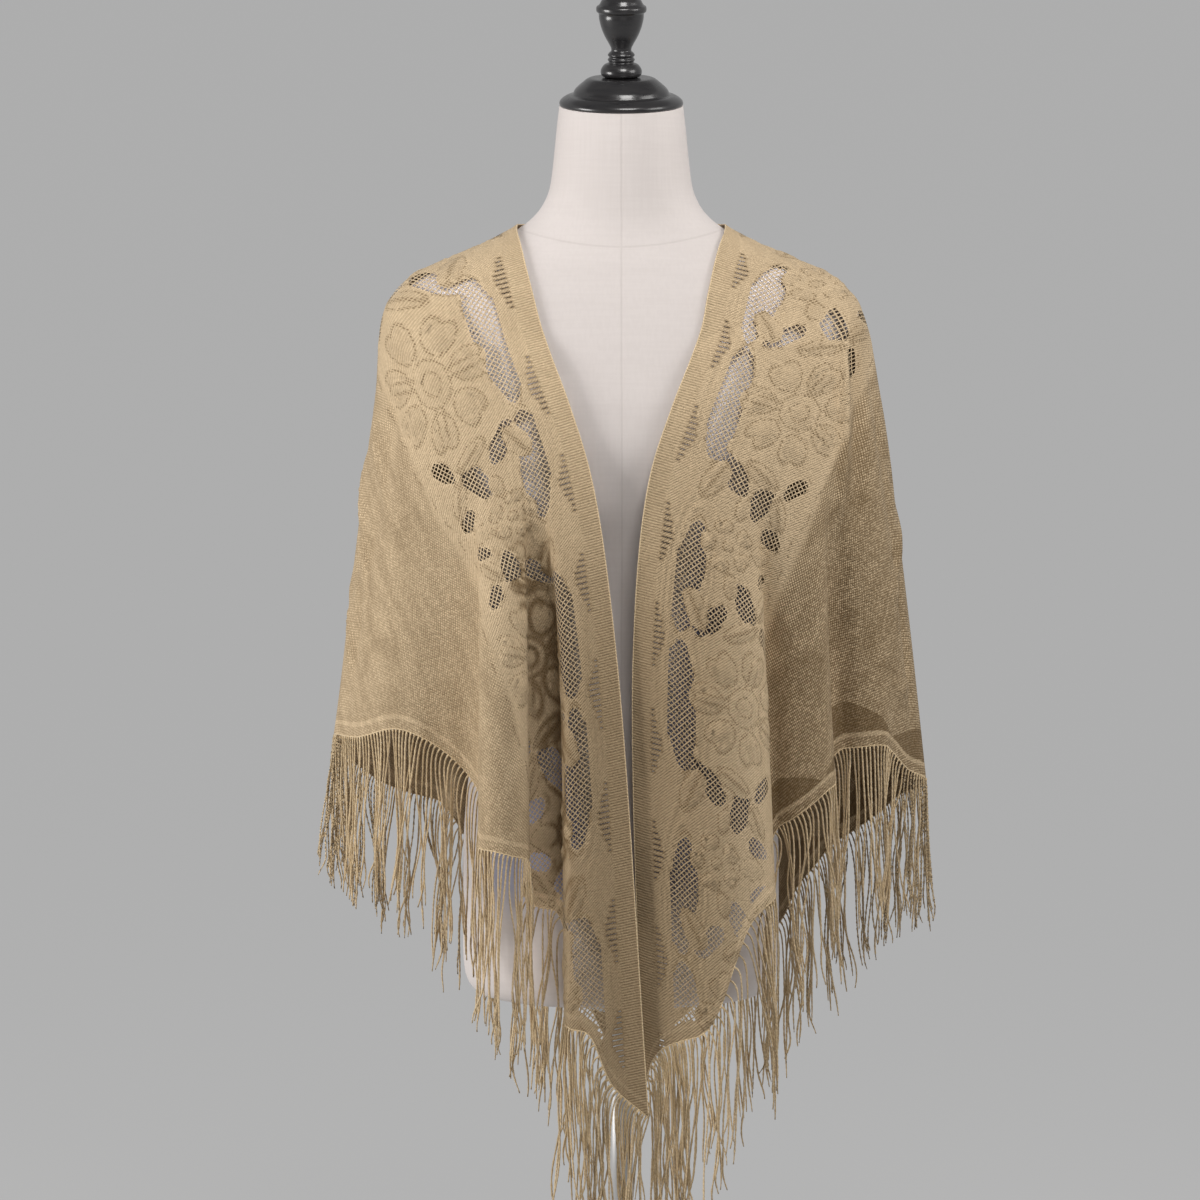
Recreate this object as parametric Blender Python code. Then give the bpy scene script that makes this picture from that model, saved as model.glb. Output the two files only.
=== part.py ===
"""Lace shawl draped on a limbless dress form with a plain stand."""

import math
import random

import bmesh
import bpy
import numpy as np
from mathutils import Matrix

MM = 0.001

# Stand and form, millimetres.
FORM_BOTTOM = 350.0
POLE_RADIUS = 11.0
BASE_RADIUS = 150.0
BASE_HEIGHT = 14.0
COLLAR_HEIGHT = 14.0
JOIN_GAP = 0.3
FORM_SIDES = 36
TURNED_SIDES = 24
CAP_TILT = math.radians(10.0)
CAP_SEAT_Z = 1133.0
CAP_SEAT_Y = -8.0

# Shawl, millimetres.
WALL = 1.4
CLEAR = 3.4
LEAST_CLEAR = 1.4
REST_FADE = 14.0
STRIP_HEIGHT = 5.0
STRIP_GAP = 0.9
PANEL_GAP = 1.3
FRINGE_LENGTH = 150.0
STRAND_WIDTH = 1.7
LEAST_SLANT = 0.32
FINE_ROWS = 121

# Form sections: z, half width, front, back, centre y, roundness.
FORM_SECTIONS = [
    # z, half_width, front, back, centre_y, power
    (350.0, 112.0, 84.0, 88.0, 0.0, 2.2),
    (352.0, 121.0, 91.0, 95.0, 0.0, 2.2),
    (358.0, 131.0, 98.0, 102.0, 0.0, 2.3),
    (370.0, 137.5, 102.0, 107.0, 0.0, 2.3),
    (392.0, 139.5, 104.0, 108.0, 0.0, 2.3),
    (480.0, 139.0, 103.0, 107.0, 0.0, 2.3),
    (525.0, 136.5, 100.0, 102.0, 0.0, 2.3),
    (580.0, 128.0, 93.0, 92.0, 0.0, 2.3),
    (640.0, 117.0, 87.0, 83.0, 0.0, 2.3),
    (690.0, 117.0, 89.0, 82.0, 0.0, 2.3),
    (745.0, 130.0, 100.0, 88.0, 0.0, 2.35),
    (795.0, 146.0, 112.0, 96.0, 0.0, 2.4),
    (835.0, 158.0, 117.0, 101.0, 0.0, 2.4),
    (870.0, 172.0, 113.0, 103.0, 0.0, 2.35),
    (900.0, 188.0, 105.0, 102.0, 0.0, 2.3),
    (925.0, 196.0, 98.0, 98.0, 0.0, 2.3),
    (945.0, 199.0, 92.0, 93.0, 0.0, 2.3),
    (958.0, 198.0, 88.0, 88.0, 0.0, 2.3),
    (968.0, 192.0, 85.0, 84.0, 0.0, 2.25),
    (976.0, 183.0, 82.0, 80.0, 0.0, 2.2),
    (985.0, 170.0, 79.0, 76.0, 0.0, 2.15),
    (995.0, 150.0, 76.0, 72.0, 0.0, 2.1),
    (1006.0, 126.0, 71.0, 67.0, 0.0, 2.05),
    (1016.0, 106.0, 67.0, 64.0, -0.5, 2.0),
    (1025.0, 90.0, 64.0, 61.0, -1.0, 2.0),
    (1034.0, 78.0, 61.5, 59.5, -2.0, 2.0),
    (1044.0, 69.5, 60.0, 58.5, -3.0, 2.0),
    (1060.0, 62.5, 58.5, 57.5, -4.5, 2.0),
    (1085.0, 59.0, 57.0, 56.5, -6.0, 2.0),
    (1110.0, 56.5, 55.5, 55.0, -7.5, 2.0),
    (1132.0, 54.0, 54.0, 54.0, -8.0, 2.0),
]
NECK_TILTS = {1085.0: 0.15, 1110.0: 0.6, 1132.0: 1.0}

# Turned profiles as radius and height from the seat.
CAP_PROFILE = [
    # radius, height
    (53.4, 0.0), (54.0, 1.4), (53.6, 3.6), (51.4, 6.0), (47.2, 8.4),
    (42.4, 9.8), (41.6, 11.4), (40.2, 14.0), (37.0, 17.2), (33.6, 20.0),
    (30.6, 22.4), (27.6, 23.8), (20.0, 24.2),
]
KNOB_PROFILE = [
    # radius, height
    (14.0, 24.5), (16.8, 25.8), (18.0, 28.8), (17.4, 32.0), (14.6, 35.6),
    (10.8, 37.6), (11.9, 39.8), (10.6, 41.8), (11.8, 43.8), (10.4, 46.0),
    (8.9, 47.4), (8.9, 49.4), (10.6, 53.2), (14.2, 59.6), (17.4, 67.2),
    (19.4, 75.4), (19.9, 80.0), (21.6, 81.6), (21.6, 85.6), (19.2, 87.6),
    (16.6, 92.0), (10.0, 96.0), (3.0, 97.0),
]
COLLAR_PROFILE = [
    # radius, height below the form's underside, upward
    (17.0, -14.3), (24.0, -13.3), (31.0, -10.3), (36.0, -5.8), (38.0, -0.3),
]
BASE_PROFILE = [
    # radius, height
    (BASE_RADIUS - 4.0, 0.0), (BASE_RADIUS, 2.0), (BASE_RADIUS, 6.0), (BASE_RADIUS - 4.0, 9.5),
    (120.0, 11.5), (40.0, BASE_HEIGHT), (22.0, 16.0), (17.0, 22.0),
]

# Yoke rings of the shawl, from the neckline down to the bust.
YOKE_RINGS = [
    # half_left, half_right, front, back, z_front, z_side, z_back, edge_left, edge_right, power
    (114.0, 114.0, 92.0, 69.0, 980.0, 1015.0, 1017.0, -84.0, 81.0, 2.1),
    (148.0, 148.0, 95.0, 79.0, 956.0, 1001.0, 1000.0, -76.0, 74.0, 2.1),
    (186.0, 188.0, 97.0, 90.0, 935.0, 982.0, 970.0, -69.0, 69.0, 2.15),
    (207.0, 210.0, 108.0, 102.0, 912.0, 955.0, 930.0, -60.0, 60.0, 2.2),
    (216.0, 227.0, 122.0, 116.0, 872.0, 880.0, 872.0, -44.0, 43.0, 2.2),
    (226.0, 238.0, 131.0, 126.0, 808.0, 808.0, 802.0, -25.0, 23.0, 2.2),
]
# Neckline from the shoulder point round to the nape, on the left side.
NECKLINE = [
    # x, y, z
    (-89.0, -8.0, 1026.0), (-88.0, 12.0, 1028.0), (-80.0, 34.0, 1030.0),
    (-62.0, 54.0, 1033.0), (-34.0, 66.0, 1035.0), (0.0, 70.0, 1036.0),
]
ROW_SHARES = [
    # share of the length of a cloth line, closer over the shoulder
    0.0, 0.035, 0.075, 0.13, 0.18, 0.23, 0.28, 0.34, 0.42, 0.50, 0.60, 0.70, 0.80, 0.90, 1.0,
]
FRONT_SHARE = 0.30
FAN_RADIUS = 2.5
MID_Z = 664.0

# Fold lines of the left front, from the long edge to the arm side.
LEFT_FOLDS = [
    # name, x_bust, x_mid, y_mid, x_hem, y_hem, z_hem
    ("edge", -25, -5, -138, 23, -140, 265),
    ("band", -39, -21, -144, -8, -147, 294),
    ("band_ridge", -53, -38, -147, -29, -150, 339),
    ("ridge_a", -61, -48, -145, -44, -148, 343),
    ("turn_a", -65, -53, -136, -49, -135, 350),
    ("leg_a", -68, -53, -121, -45, -114, 395),
    ("trough_a", -72, -61, -114, -56, -107, 438),
    ("trough_b", -78, -72, -114, -72, -106, 442),
    ("leg_b", -84, -81, -119, -85, -112, 455),
    ("turn_b", -87, -82, -134, -79, -136, 485),
    ("ridge_b", -98, -97, -146, -95, -151, 492),
    ("ridge_c", -111, -112, -146, -110, -151, 496),
    ("turn_c", -121, -121, -138, -122, -140, 498),
    ("leg_c", -128, -118, -121, -116, -114, 525),
    ("hollow", -137, -132, -108, -131, -94, 554),
    ("flank_a", -151, -151, -103, -150, -92, 573),
    ("flank_b", -168, -175, -98, -175, -94, 589),
    ("flank_c", -185, -196, -86, -195, -86, 594),
    ("flank_d", -205, -223, -56, -229, -56, 584),
    ("side", -226, -243, -12, -252, -12, 582),
]
# Fold lines of the right front.
RIGHT_FOLDS = [
    # name, x_bust, x_mid, y_mid, x_hem, y_hem, z_hem
    ("edge", 23, 10, -127, 18, -124, 272),
    ("edge_in", 33, 24, -133, 26, -129, 311),
    ("band", 43, 38, -138, 36, -134, 324),
    ("panel_a", 55, 54, -141, 52, -138, 331),
    ("panel_b", 69, 72, -142, 69, -141, 337),
    ("panel_c", 83, 89, -140, 82, -141, 355),
    ("panel_d", 95, 103, -135, 97, -138, 397),
    ("panel_e", 104, 114, -127, 110, -132, 430),
    ("panel_f", 111, 121, -118, 124, -124, 445),
    ("turn_a", 116, 123, -107, 132, -112, 452),
    ("leg_a", 119, 119, -97, 126, -93, 479),
    ("middle_a", 124, 127, -92, 135, -82, 507),
    ("middle_b", 136, 143, -98, 147, -90, 516),
    ("middle_c", 151, 160, -98, 163, -93, 528),
    ("middle_d", 165, 174, -92, 178, -89, 541),
    ("turn_b", 173, 180, -81, 185, -78, 546),
    ("leg_b", 178, 176, -67, 180, -60, 559),
    ("outer_a", 185, 188, -60, 191, -49, 572),
    ("outer_b", 197, 205, -60, 209, -54, 575),
    ("outer_c", 209, 225, -52, 229, -50, 576),
    ("outer_d", 218, 236, -42, 237, -38, 569),
    ("outer_e", 228, 246, -26, 252, -22, 552),
    ("side", 238, 255, -2, 269, 2, 542),
]
# Fold lines of the two backs, from the arm side to the centre back.
LEFT_BACK_FOLDS = [
    # name, around, x_mid, y_mid, x_hem, y_hem, z_hem
    ("side_back", 1.08, -241, 30, -251, 32, 568),
    ("back_a", 1.18, -229, 68, -238, 72, 548),
    ("back_b", 1.27, -208, 95, -216, 100, 528),
    ("back_c", 1.36, -185, 117, -190, 124, 515),
    ("back_d", 1.44, -164, 118, -164, 119, 508),
    ("trough_a", 1.50, -148, 106, -152, 102, 496),
    ("back_e", 1.57, -129, 113, -133, 114, 464),
    ("back_f", 1.65, -109, 134, -110, 140, 428),
    ("back_g", 1.73, -86, 137, -85, 145, 400),
    ("trough_b", 1.80, -63, 121, -62, 120, 376),
    ("back_h", 1.87, -39, 131, -37, 137, 336),
    ("back_i", 1.94, -17, 142, -17, 150, 293),
    ("centre", 2.00, 0, 142, 0, 150, 263),
]
RIGHT_BACK_FOLDS = [
    # name, around, x_mid, y_mid, x_hem, y_hem, z_hem
    ("side_back", 1.08, 255, 31, 264, 32, 531),
    ("back_a", 1.16, 246, 62, 250, 64, 520),
    ("back_b", 1.25, 227, 88, 233, 90, 501),
    ("back_c", 1.34, 205, 106, 213, 111, 483),
    ("back_d", 1.42, 183, 111, 192, 115, 468),
    ("trough_a", 1.49, 167, 103, 174, 101, 449),
    ("back_e", 1.56, 153, 113, 161, 116, 430),
    ("back_f", 1.63, 134, 132, 147, 138, 396),
    ("back_g", 1.71, 111, 138, 123, 146, 369),
    ("trough_b", 1.78, 85, 121, 95, 121, 348),
    ("back_h", 1.86, 58, 132, 64, 138, 313),
    ("back_i", 1.93, 29, 142, 32, 150, 283),
    ("centre", 2.00, 0, 142, 0, 150, 263),
]
# Stretches of the shawl, each from one fold line to another, with the fringe on its hem.
PANELS = [
    # name, side, first fold, last fold, strands, seed
    ("left_wing", -1, "edge", "side", 44, 7),
    ("right_wing", 1, "edge", "side", 46, 8),
    ("left_back", -1, "side", "centre", 34, 9),
    ("right_back", 1, "side", "centre", 34, 10),
]
FINISHES = {
    # name: colour, metallic, roughness
    "lace_knit": ((0.50, 0.37, 0.21), 0.0, 0.8),
    "fringe_cord": ((0.46, 0.34, 0.19), 0.0, 0.8),
    "linen": ((0.77, 0.71, 0.69), 0.0, 0.85),
    "black_wood": ((0.025, 0.025, 0.03), 0.0, 0.3),
    "pale_metal": ((0.42, 0.42, 0.42), 0.0, 0.4),
}


def clear_scene():
    """Remove every object of the start scene."""
    for item in list(bpy.data.objects):
        bpy.data.objects.remove(item, do_unlink=True)


def make_collection(name):
    """Return a new collection linked to the scene."""
    group = bpy.data.collections.new(name)
    bpy.context.scene.collection.children.link(group)
    return group


def finish_material(node, finish):
    """Return one Principled material for a node."""
    colour, metallic, roughness = FINISHES[finish]
    material = bpy.data.materials.new(node + "_finish")
    material.use_nodes = True
    shader = material.node_tree.nodes["Principled BSDF"]
    shader.inputs["Base Color"].default_value = (*colour, 1.0)
    shader.inputs["Metallic"].default_value = metallic
    shader.inputs["Roughness"].default_value = roughness
    return material


def add_object(group, name, mesh_builder, finish):
    """Turn a bmesh into a named object with its own material."""
    bmesh.ops.recalc_face_normals(mesh_builder, faces=mesh_builder.faces[:])
    if mesh_builder.calc_volume(signed=True) < 0.0:
        bmesh.ops.reverse_faces(mesh_builder, faces=mesh_builder.faces[:])
    mesh = bpy.data.meshes.new(name)
    mesh_builder.to_mesh(mesh)
    mesh_builder.free()
    item = bpy.data.objects.new(name, mesh)
    item.data.materials.append(finish_material(name, finish))
    group.objects.link(item)
    return item


def smooth_table(keys, values, at):
    """Interpolate a table column by a monotone cubic."""
    keys = np.asarray(keys, float)
    values = np.asarray(values, float)
    at = np.clip(np.asarray(at, float), keys[0], keys[-1])
    steps = np.diff(keys)
    slopes = np.diff(values) / steps
    tangents = np.zeros_like(values)
    for i in range(1, len(keys) - 1):
        if slopes[i - 1] * slopes[i] > 0.0:
            w_a = 2.0 * steps[i] + steps[i - 1]
            w_b = steps[i] + 2.0 * steps[i - 1]
            tangents[i] = (w_a + w_b) / (w_a / slopes[i - 1] + w_b / slopes[i])
    tangents[0] = slopes[0]
    tangents[-1] = slopes[-1]
    cell = np.clip(np.searchsorted(keys, at, side="right") - 1, 0, len(steps) - 1)
    h = steps[cell]
    t = (at - keys[cell]) / h
    a = (1.0 + 2.0 * t) * (1.0 - t) ** 2 * values[cell]
    b = t * (1.0 - t) ** 2 * h * tangents[cell]
    c = t * t * (3.0 - 2.0 * t) * values[cell + 1]
    d = t * t * (t - 1.0) * h * tangents[cell + 1]
    return a + b + c + d


def curve_through(points, keys, at):
    """Evaluate a smooth curve through points at the given keys."""
    points = np.asarray(points, float)
    keys = np.asarray(keys, float)
    at = np.clip(np.asarray(at, float), keys[0], keys[-1])
    steps = np.diff(keys)[:, None]
    slopes = np.diff(points, axis=0) / steps
    tangents = np.empty_like(points)
    tangents[1:-1] = (slopes[:-1] * steps[1:] + slopes[1:] * steps[:-1]) / (steps[:-1] + steps[1:])
    tangents[0] = slopes[0]
    tangents[-1] = slopes[-1]
    cell = np.clip(np.searchsorted(keys, at, side="right") - 1, 0, len(keys) - 2)
    h = steps[cell]
    t = (at - keys[cell])[:, None] / h
    a = (1.0 + 2.0 * t) * (1.0 - t) ** 2 * points[cell]
    b = t * (1.0 - t) ** 2 * h * tangents[cell]
    c = t * t * (3.0 - 2.0 * t) * points[cell + 1]
    d = t * t * (t - 1.0) * h * tangents[cell + 1]
    return a + b + c + d


def chord_keys(points, power=0.5):
    """Return cumulative chord lengths raised to a power."""
    gaps = np.linalg.norm(np.diff(np.asarray(points, float), axis=0), axis=1)
    return np.concatenate([[0.0], np.cumsum(np.maximum(gaps, 1e-6) ** power)])


FORM_KEYS = [row[0] for row in FORM_SECTIONS]


def form_measure(points):
    """Return how far points are outside the form, negative inside."""
    z = points[:, 2]
    half = smooth_table(FORM_KEYS, [r[1] for r in FORM_SECTIONS], z)
    front = smooth_table(FORM_KEYS, [r[2] for r in FORM_SECTIONS], z)
    back = smooth_table(FORM_KEYS, [r[3] for r in FORM_SECTIONS], z)
    centre = smooth_table(FORM_KEYS, [r[4] for r in FORM_SECTIONS], z)
    power = smooth_table(FORM_KEYS, [r[5] for r in FORM_SECTIONS], z)
    y = points[:, 1] - centre
    depth = np.where(y < 0.0, front, back)
    total = (np.abs(points[:, 0]) / half) ** power + (np.abs(y) / depth) ** power
    return np.maximum(total, 1e-9) ** (1.0 / power) - 1.0


def form_slope(points):
    """Return the slope of the form measure at points."""
    slope = np.empty_like(points)
    for axis in range(3):
        step = np.zeros(3)
        step[axis] = 0.5
        slope[:, axis] = form_measure(points + step) - form_measure(points - step)
    return slope


def push_clear(points, clear):
    """Move points out of the form until they clear it."""
    moved = points.copy()
    for _ in range(6):
        slope = form_slope(moved)
        size = np.maximum(np.linalg.norm(slope, axis=1), 1e-6)
        distance = form_measure(moved) / size
        short = np.maximum(clear - distance, 0.0)
        short = np.where(moved[:, 2] < FORM_BOTTOM - 2.0, 0.0, short)
        moved += slope / size[:, None] * np.minimum(short, 12.0)[:, None]
    return moved


def ring_angle(x, half, power):
    """Return the ring angle at which a rounded ring has this x."""
    return math.asin(min(1.0, abs(x) / half) ** (power / 2.0))


def ring_point(angle, half, front, back, power, side):
    """Return x and y of a rounded ring at an angle from the front."""
    x = half * math.sin(angle) ** (2.0 / power)
    c = math.cos(angle)
    depth = front if c > 0.0 else back
    y = -math.copysign(abs(c) ** (2.0 / power), c) * depth
    return side * x, y


def yoke_points(around, side):
    """Return the yoke points of one generator line."""
    line = np.asarray(NECKLINE)
    share = FRONT_SHARE * min(around, 1.0) ** 3 + (1.0 - FRONT_SHARE) * max(around - 1.0, 0.0)
    keys = chord_keys(line, 1.0)
    start = curve_through(line, keys, [share * keys[-1]])[0]
    points = [(start[0] * -side, start[1], start[2])]
    for row in YOKE_RINGS:
        half = row[0] if side < 0 else row[1]
        edge = row[7] if side < 0 else row[8]
        first = ring_angle(edge, half, row[9])
        if around < 1.0:
            angle = first + (math.pi / 2.0 - first) * around
            bend = math.sin(angle) ** 2
            z = row[4] + (row[5] - row[4]) * bend
        else:
            angle = math.pi / 2.0 * around
            bend = math.sin(angle) ** 2
            z = row[6] + (row[5] - row[6]) * bend
        x, y = ring_point(angle, half, row[2], row[3], row[9], side)
        points.append((x, y, z))
    if around < 1.0:
        reach = np.asarray(points[1]) - np.asarray(points[0])
        reach *= FAN_RADIUS * (1.0 - around) / np.linalg.norm(reach)
        points[0] = tuple(np.asarray(points[0]) + reach)
    return points


def fold_table(side):
    """Return fold lines of one side as around, mid and hem columns."""
    front = LEFT_FOLDS if side < 0 else RIGHT_FOLDS
    back = LEFT_BACK_FOLDS if side < 0 else RIGHT_BACK_FOLDS
    bust = YOKE_RINGS[-1]
    half = bust[0] if side < 0 else bust[1]
    edge = bust[7] if side < 0 else bust[8]
    first = ring_angle(edge, half, bust[9])
    rows = []
    for name, x_bust, x_mid, y_mid, x_hem, y_hem, z_hem in front:
        angle = ring_angle(x_bust, half, bust[9])
        around = (angle - first) / (math.pi / 2.0 - first)
        rows.append((name, around, x_mid, y_mid, MID_Z, x_hem, y_hem, z_hem))
    for name, around, x_mid, y_mid, x_hem, y_hem, z_hem in back:
        rows.append((name, around, x_mid, y_mid, MID_Z, x_hem, y_hem, z_hem))
    return rows


def fold_keys(rows):
    """Return the spline keys of a side's fold lines."""
    return chord_keys([row[5:8] for row in rows], 0.5)


def cloth_lines(rows, keys, places, side):
    """Return fine cloth lines at fold keys, clear of the form."""
    around = smooth_table(keys, [row[1] for row in rows], places)
    middle = curve_through([row[2:5] for row in rows], keys, places)
    hem = curve_through([row[5:8] for row in rows], keys, places)
    lines = []
    for k, value in enumerate(around):
        control = np.asarray(yoke_points(float(value), side) + [tuple(middle[k]), tuple(hem[k])])
        steps = chord_keys(control, 0.5)
        lines.append(curve_through(control, steps, np.linspace(0.0, steps[-1], FINE_ROWS)))
    fine = np.asarray(lines)
    return push_clear(fine.reshape(-1, 3), CLEAR).reshape(fine.shape)


def line_lengths(lines):
    """Return the running length along every cloth line."""
    gaps = np.linalg.norm(np.diff(lines, axis=1), axis=2)
    return np.concatenate([np.zeros((len(lines), 1)), np.cumsum(gaps, axis=1)], axis=1)


def sample_lines(lines, shares, cut):
    """Sample cloth lines at shares of length, cut short at the hem."""
    runs = line_lengths(lines)
    columns = []
    for line, run in zip(lines, runs):
        wanted = np.asarray(shares) * (run[-1] - cut)
        columns.append(np.stack([np.interp(wanted, run, line[:, k]) for k in range(3)], axis=1))
    return np.asarray(columns)


def fold_places(rows, keys, first, last, per_fold):
    """Return fold keys of columns: on every fold line and evenly between."""
    names = [row[0] for row in rows]
    start, end = names.index(first), names.index(last)
    step = 1 if end > start else -1
    places = [keys[start]]
    for k in range(start, end, step):
        places += list(np.linspace(keys[k], keys[k + step], per_fold + 1)[1:])
    return np.asarray(places)


def settle_clear(points, least):
    """Push grid points out until the faces between them clear the form."""
    settled = points.copy()
    for _ in range(4):
        centre = (settled[1:, 1:] + settled[:-1, 1:] + settled[1:, :-1] + settled[:-1, :-1]) / 4.0
        moved = push_clear(centre.reshape(-1, 3), least).reshape(centre.shape)
        shift = (moved - centre) * 1.3
        for i, k in ((0, 0), (0, 1), (1, 0), (1, 1)):
            part = settled[i:settled.shape[0] - 1 + i, k:settled.shape[1] - 1 + k]
            part += shift * 0.5
    return settled


def grid_mesh(points):
    """Return a bmesh of quads over a grid of points in millimetres."""
    builder = bmesh.new()
    grid = [[builder.verts.new(p * MM) for p in column] for column in points]
    for left, right in zip(grid[:-1], grid[1:]):
        for k in range(len(left) - 1):
            builder.faces.new((left[k], right[k], right[k + 1], left[k + 1]))
    return builder


def grid_normals(points):
    """Return unit normals of a grid of points."""
    across = np.gradient(points, axis=0)
    along = np.gradient(points, axis=1)
    normal = np.cross(across, along)
    size = np.maximum(np.linalg.norm(normal, axis=2, keepdims=True), 1e-9)
    return normal / size


def wall_normals(points):
    """Return grid normals that turn into the form's own where cloth rests on it."""
    normal = grid_normals(points)
    flat = points.reshape(-1, 3)
    slope = form_slope(flat)
    size = np.maximum(np.linalg.norm(slope, axis=1), 1e-6)
    distance = (form_measure(flat) / size).reshape(points.shape[:2])
    outward = (slope / size[:, None]).reshape(points.shape)
    if (normal * outward).sum() < 0.0:
        outward = -outward
    share = np.clip((REST_FADE - distance) / REST_FADE, 0.0, 1.0)[:, :, None]
    mixed = normal * (1.0 - share) + outward * share
    return mixed / np.linalg.norm(mixed, axis=2, keepdims=True)


def thicken(points, normals, wall):
    """Return a closed bmesh: two skins of a grid joined at the rims."""
    front = points + normals * wall / 2.0
    back = points - normals * wall / 2.0
    builder = grid_mesh(front)
    columns, rows = points.shape[:2]
    count = columns * rows
    builder.verts.ensure_lookup_table()
    other = [builder.verts.new(p * MM) for p in back.reshape(-1, 3)]
    builder.verts.ensure_lookup_table()
    first = [builder.verts[i] for i in range(count)]
    for i in range(columns - 1):
        for k in range(rows - 1):
            a = i * rows + k
            b = a + rows
            builder.faces.new((other[a], other[a + 1], other[b + 1], other[b]))
    rim = [i * rows for i in range(columns)]
    rim += [(columns - 1) * rows + k for k in range(1, rows)]
    rim += [i * rows + rows - 1 for i in range(columns - 2, -1, -1)]
    rim += [k for k in range(rows - 2, 0, -1)]
    for a, b in zip(rim, rim[1:] + rim[:1]):
        builder.faces.new((first[a], first[b], other[b], other[a]))
    return builder


def trim_columns(points, gap):
    """Pull the first and last column in by half a gap."""
    trimmed = points.copy()
    for end, near in ((0, 1), (-1, -2)):
        reach = points[near] - points[end]
        size = np.maximum(np.linalg.norm(reach, axis=1, keepdims=True), 1e-6)
        trimmed[end] = points[end] + reach / size * np.minimum(gap / 2.0, size * 0.3)
    return trimmed


def panel_grid(side, first, last):
    """Return one stretch's grid of points, a column for each fold line and each half way."""
    rows = fold_table(side)
    keys = fold_keys(rows)
    places = fold_places(rows, keys, first, last, 2)
    lines = cloth_lines(rows, keys, places, side)
    return settle_clear(sample_lines(lines, ROW_SHARES, STRIP_HEIGHT), LEAST_CLEAR)


def cloth_panel(group, name, grid):
    """Build one stretch of the shawl as a closed wall."""
    points = trim_columns(grid, PANEL_GAP)
    builder = thicken(points, wall_normals(points), WALL)
    return add_object(group, "shawl_" + name, builder, "lace_knit")


def strip_grid(grid, strands):
    """Return the edging strip's points and which strand cells stay empty."""
    hem = grid[:, -1]
    fall = hem - grid[:, -2]
    fall /= np.linalg.norm(fall, axis=1, keepdims=True)
    course = np.diff(hem, axis=0)
    course /= np.linalg.norm(course, axis=1, keepdims=True)
    before = np.linalg.norm(np.cross(course, fall[1:]), axis=1)
    after = np.linalg.norm(np.cross(course, fall[:-1]), axis=1)
    slant = np.minimum(np.append(after, after[-1]), np.insert(before, 0, before[0]))
    gap = (STRIP_GAP / np.maximum(slant, 0.14))[:, None]
    top = hem + fall * gap
    low = top + fall * (STRIP_HEIGHT - STRIP_GAP)
    steps = np.linalg.norm(np.diff(low, axis=0), axis=1)
    level = np.maximum((slant[1:] + slant[:-1]) / 2.0, 0.1)
    run = np.concatenate([[0.0], np.cumsum(steps * level)])
    pitch = (run[-1] - 3.0) / strands
    centres = 1.5 + (np.arange(strands) + 0.5) * pitch
    wanted = [PANEL_GAP / 2.0 * level[0]]
    for centre in centres:
        wanted += [centre - STRAND_WIDTH / 2.0, centre + STRAND_WIDTH / 2.0]
    wanted.append(run[-1] - PANEL_GAP / 2.0 * level[-1])
    lines = []
    for line in (top, low):
        lines.append(np.stack([np.interp(wanted, run, line[:, k]) for k in range(3)], axis=1))
    steep = np.interp(centres, run, slant) < LEAST_SLANT
    return np.stack(lines, axis=1), steep


def fringe_strip(group, name, grid, strands, seed):
    """Build an edging strip with its strands drawn out of its underside."""
    chance = random.Random(seed)
    points, steep = strip_grid(grid, strands)
    builder = thicken(points, grid_normals(points), WALL)
    low = points[:, 1] * MM
    centres = ((low[1:-1:2] + low[2:-1:2]) / 2.0)[~steep]
    roots = []
    for face in builder.faces:
        away = np.linalg.norm(centres - np.asarray(face.calc_center_median()), axis=1)
        if away.min() < 0.12 * MM:
            roots.append(face)
    for face in roots:
        draw_strand(builder, face, chance)
    return add_object(group, "fringe_" + name, builder, "fringe_cord")


def draw_strand(builder, face, chance):
    """Draw one hanging strand out of a face by extruding it."""
    length = FRINGE_LENGTH * chance.uniform(0.93, 1.05) * MM
    sway = [chance.uniform(-2.2, 2.2) * MM for _ in range(4)]
    current = face
    for share, shift, scale in ((0.45, 0, 1.0), (0.55, 2, 0.85)):
        made = bmesh.ops.extrude_discrete_faces(builder, faces=[current])
        current = made["faces"][0]
        move = (sway[shift], sway[shift + 1], -length * share)
        bmesh.ops.translate(builder, verts=current.verts[:], vec=move)
        middle = current.calc_center_median()
        for vert in current.verts:
            vert.co = middle + (vert.co - middle) * scale
            vert.co.z = middle.z


def loft(builder, rings, closed_ends=True):
    """Join rings of equal count by quads and cap both ends."""
    made = [[builder.verts.new(p) for p in ring] for ring in rings]
    count = len(made[0])
    for low, high in zip(made[:-1], made[1:]):
        for k in range(count):
            n = (k + 1) % count
            builder.faces.new((low[k], low[n], high[n], high[k]))
    if closed_ends:
        builder.faces.new(made[0])
        builder.faces.new(made[-1])


def dress_form(group):
    """Build the padded body and neck as one smooth solid."""
    rings = []
    for z, half, front, back, centre, power in FORM_SECTIONS:
        tilt = math.tan(CAP_TILT) * NECK_TILTS.get(z, 0.0)
        ring = []
        for k in range(FORM_SIDES):
            angle = 2.0 * math.pi * k / FORM_SIDES
            s, c = math.sin(angle), math.cos(angle)
            x = math.copysign(abs(s) ** (2.0 / power), s) * half
            depth = front if c > 0.0 else back
            y = -math.copysign(abs(c) ** (2.0 / power), c) * depth
            ring.append((x * MM, (y + centre) * MM, (z + tilt * y) * MM))
        rings.append(ring)
    builder = bmesh.new()
    loft(builder, rings)
    return add_object(group, "dress_form", builder, "linen")


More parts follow.
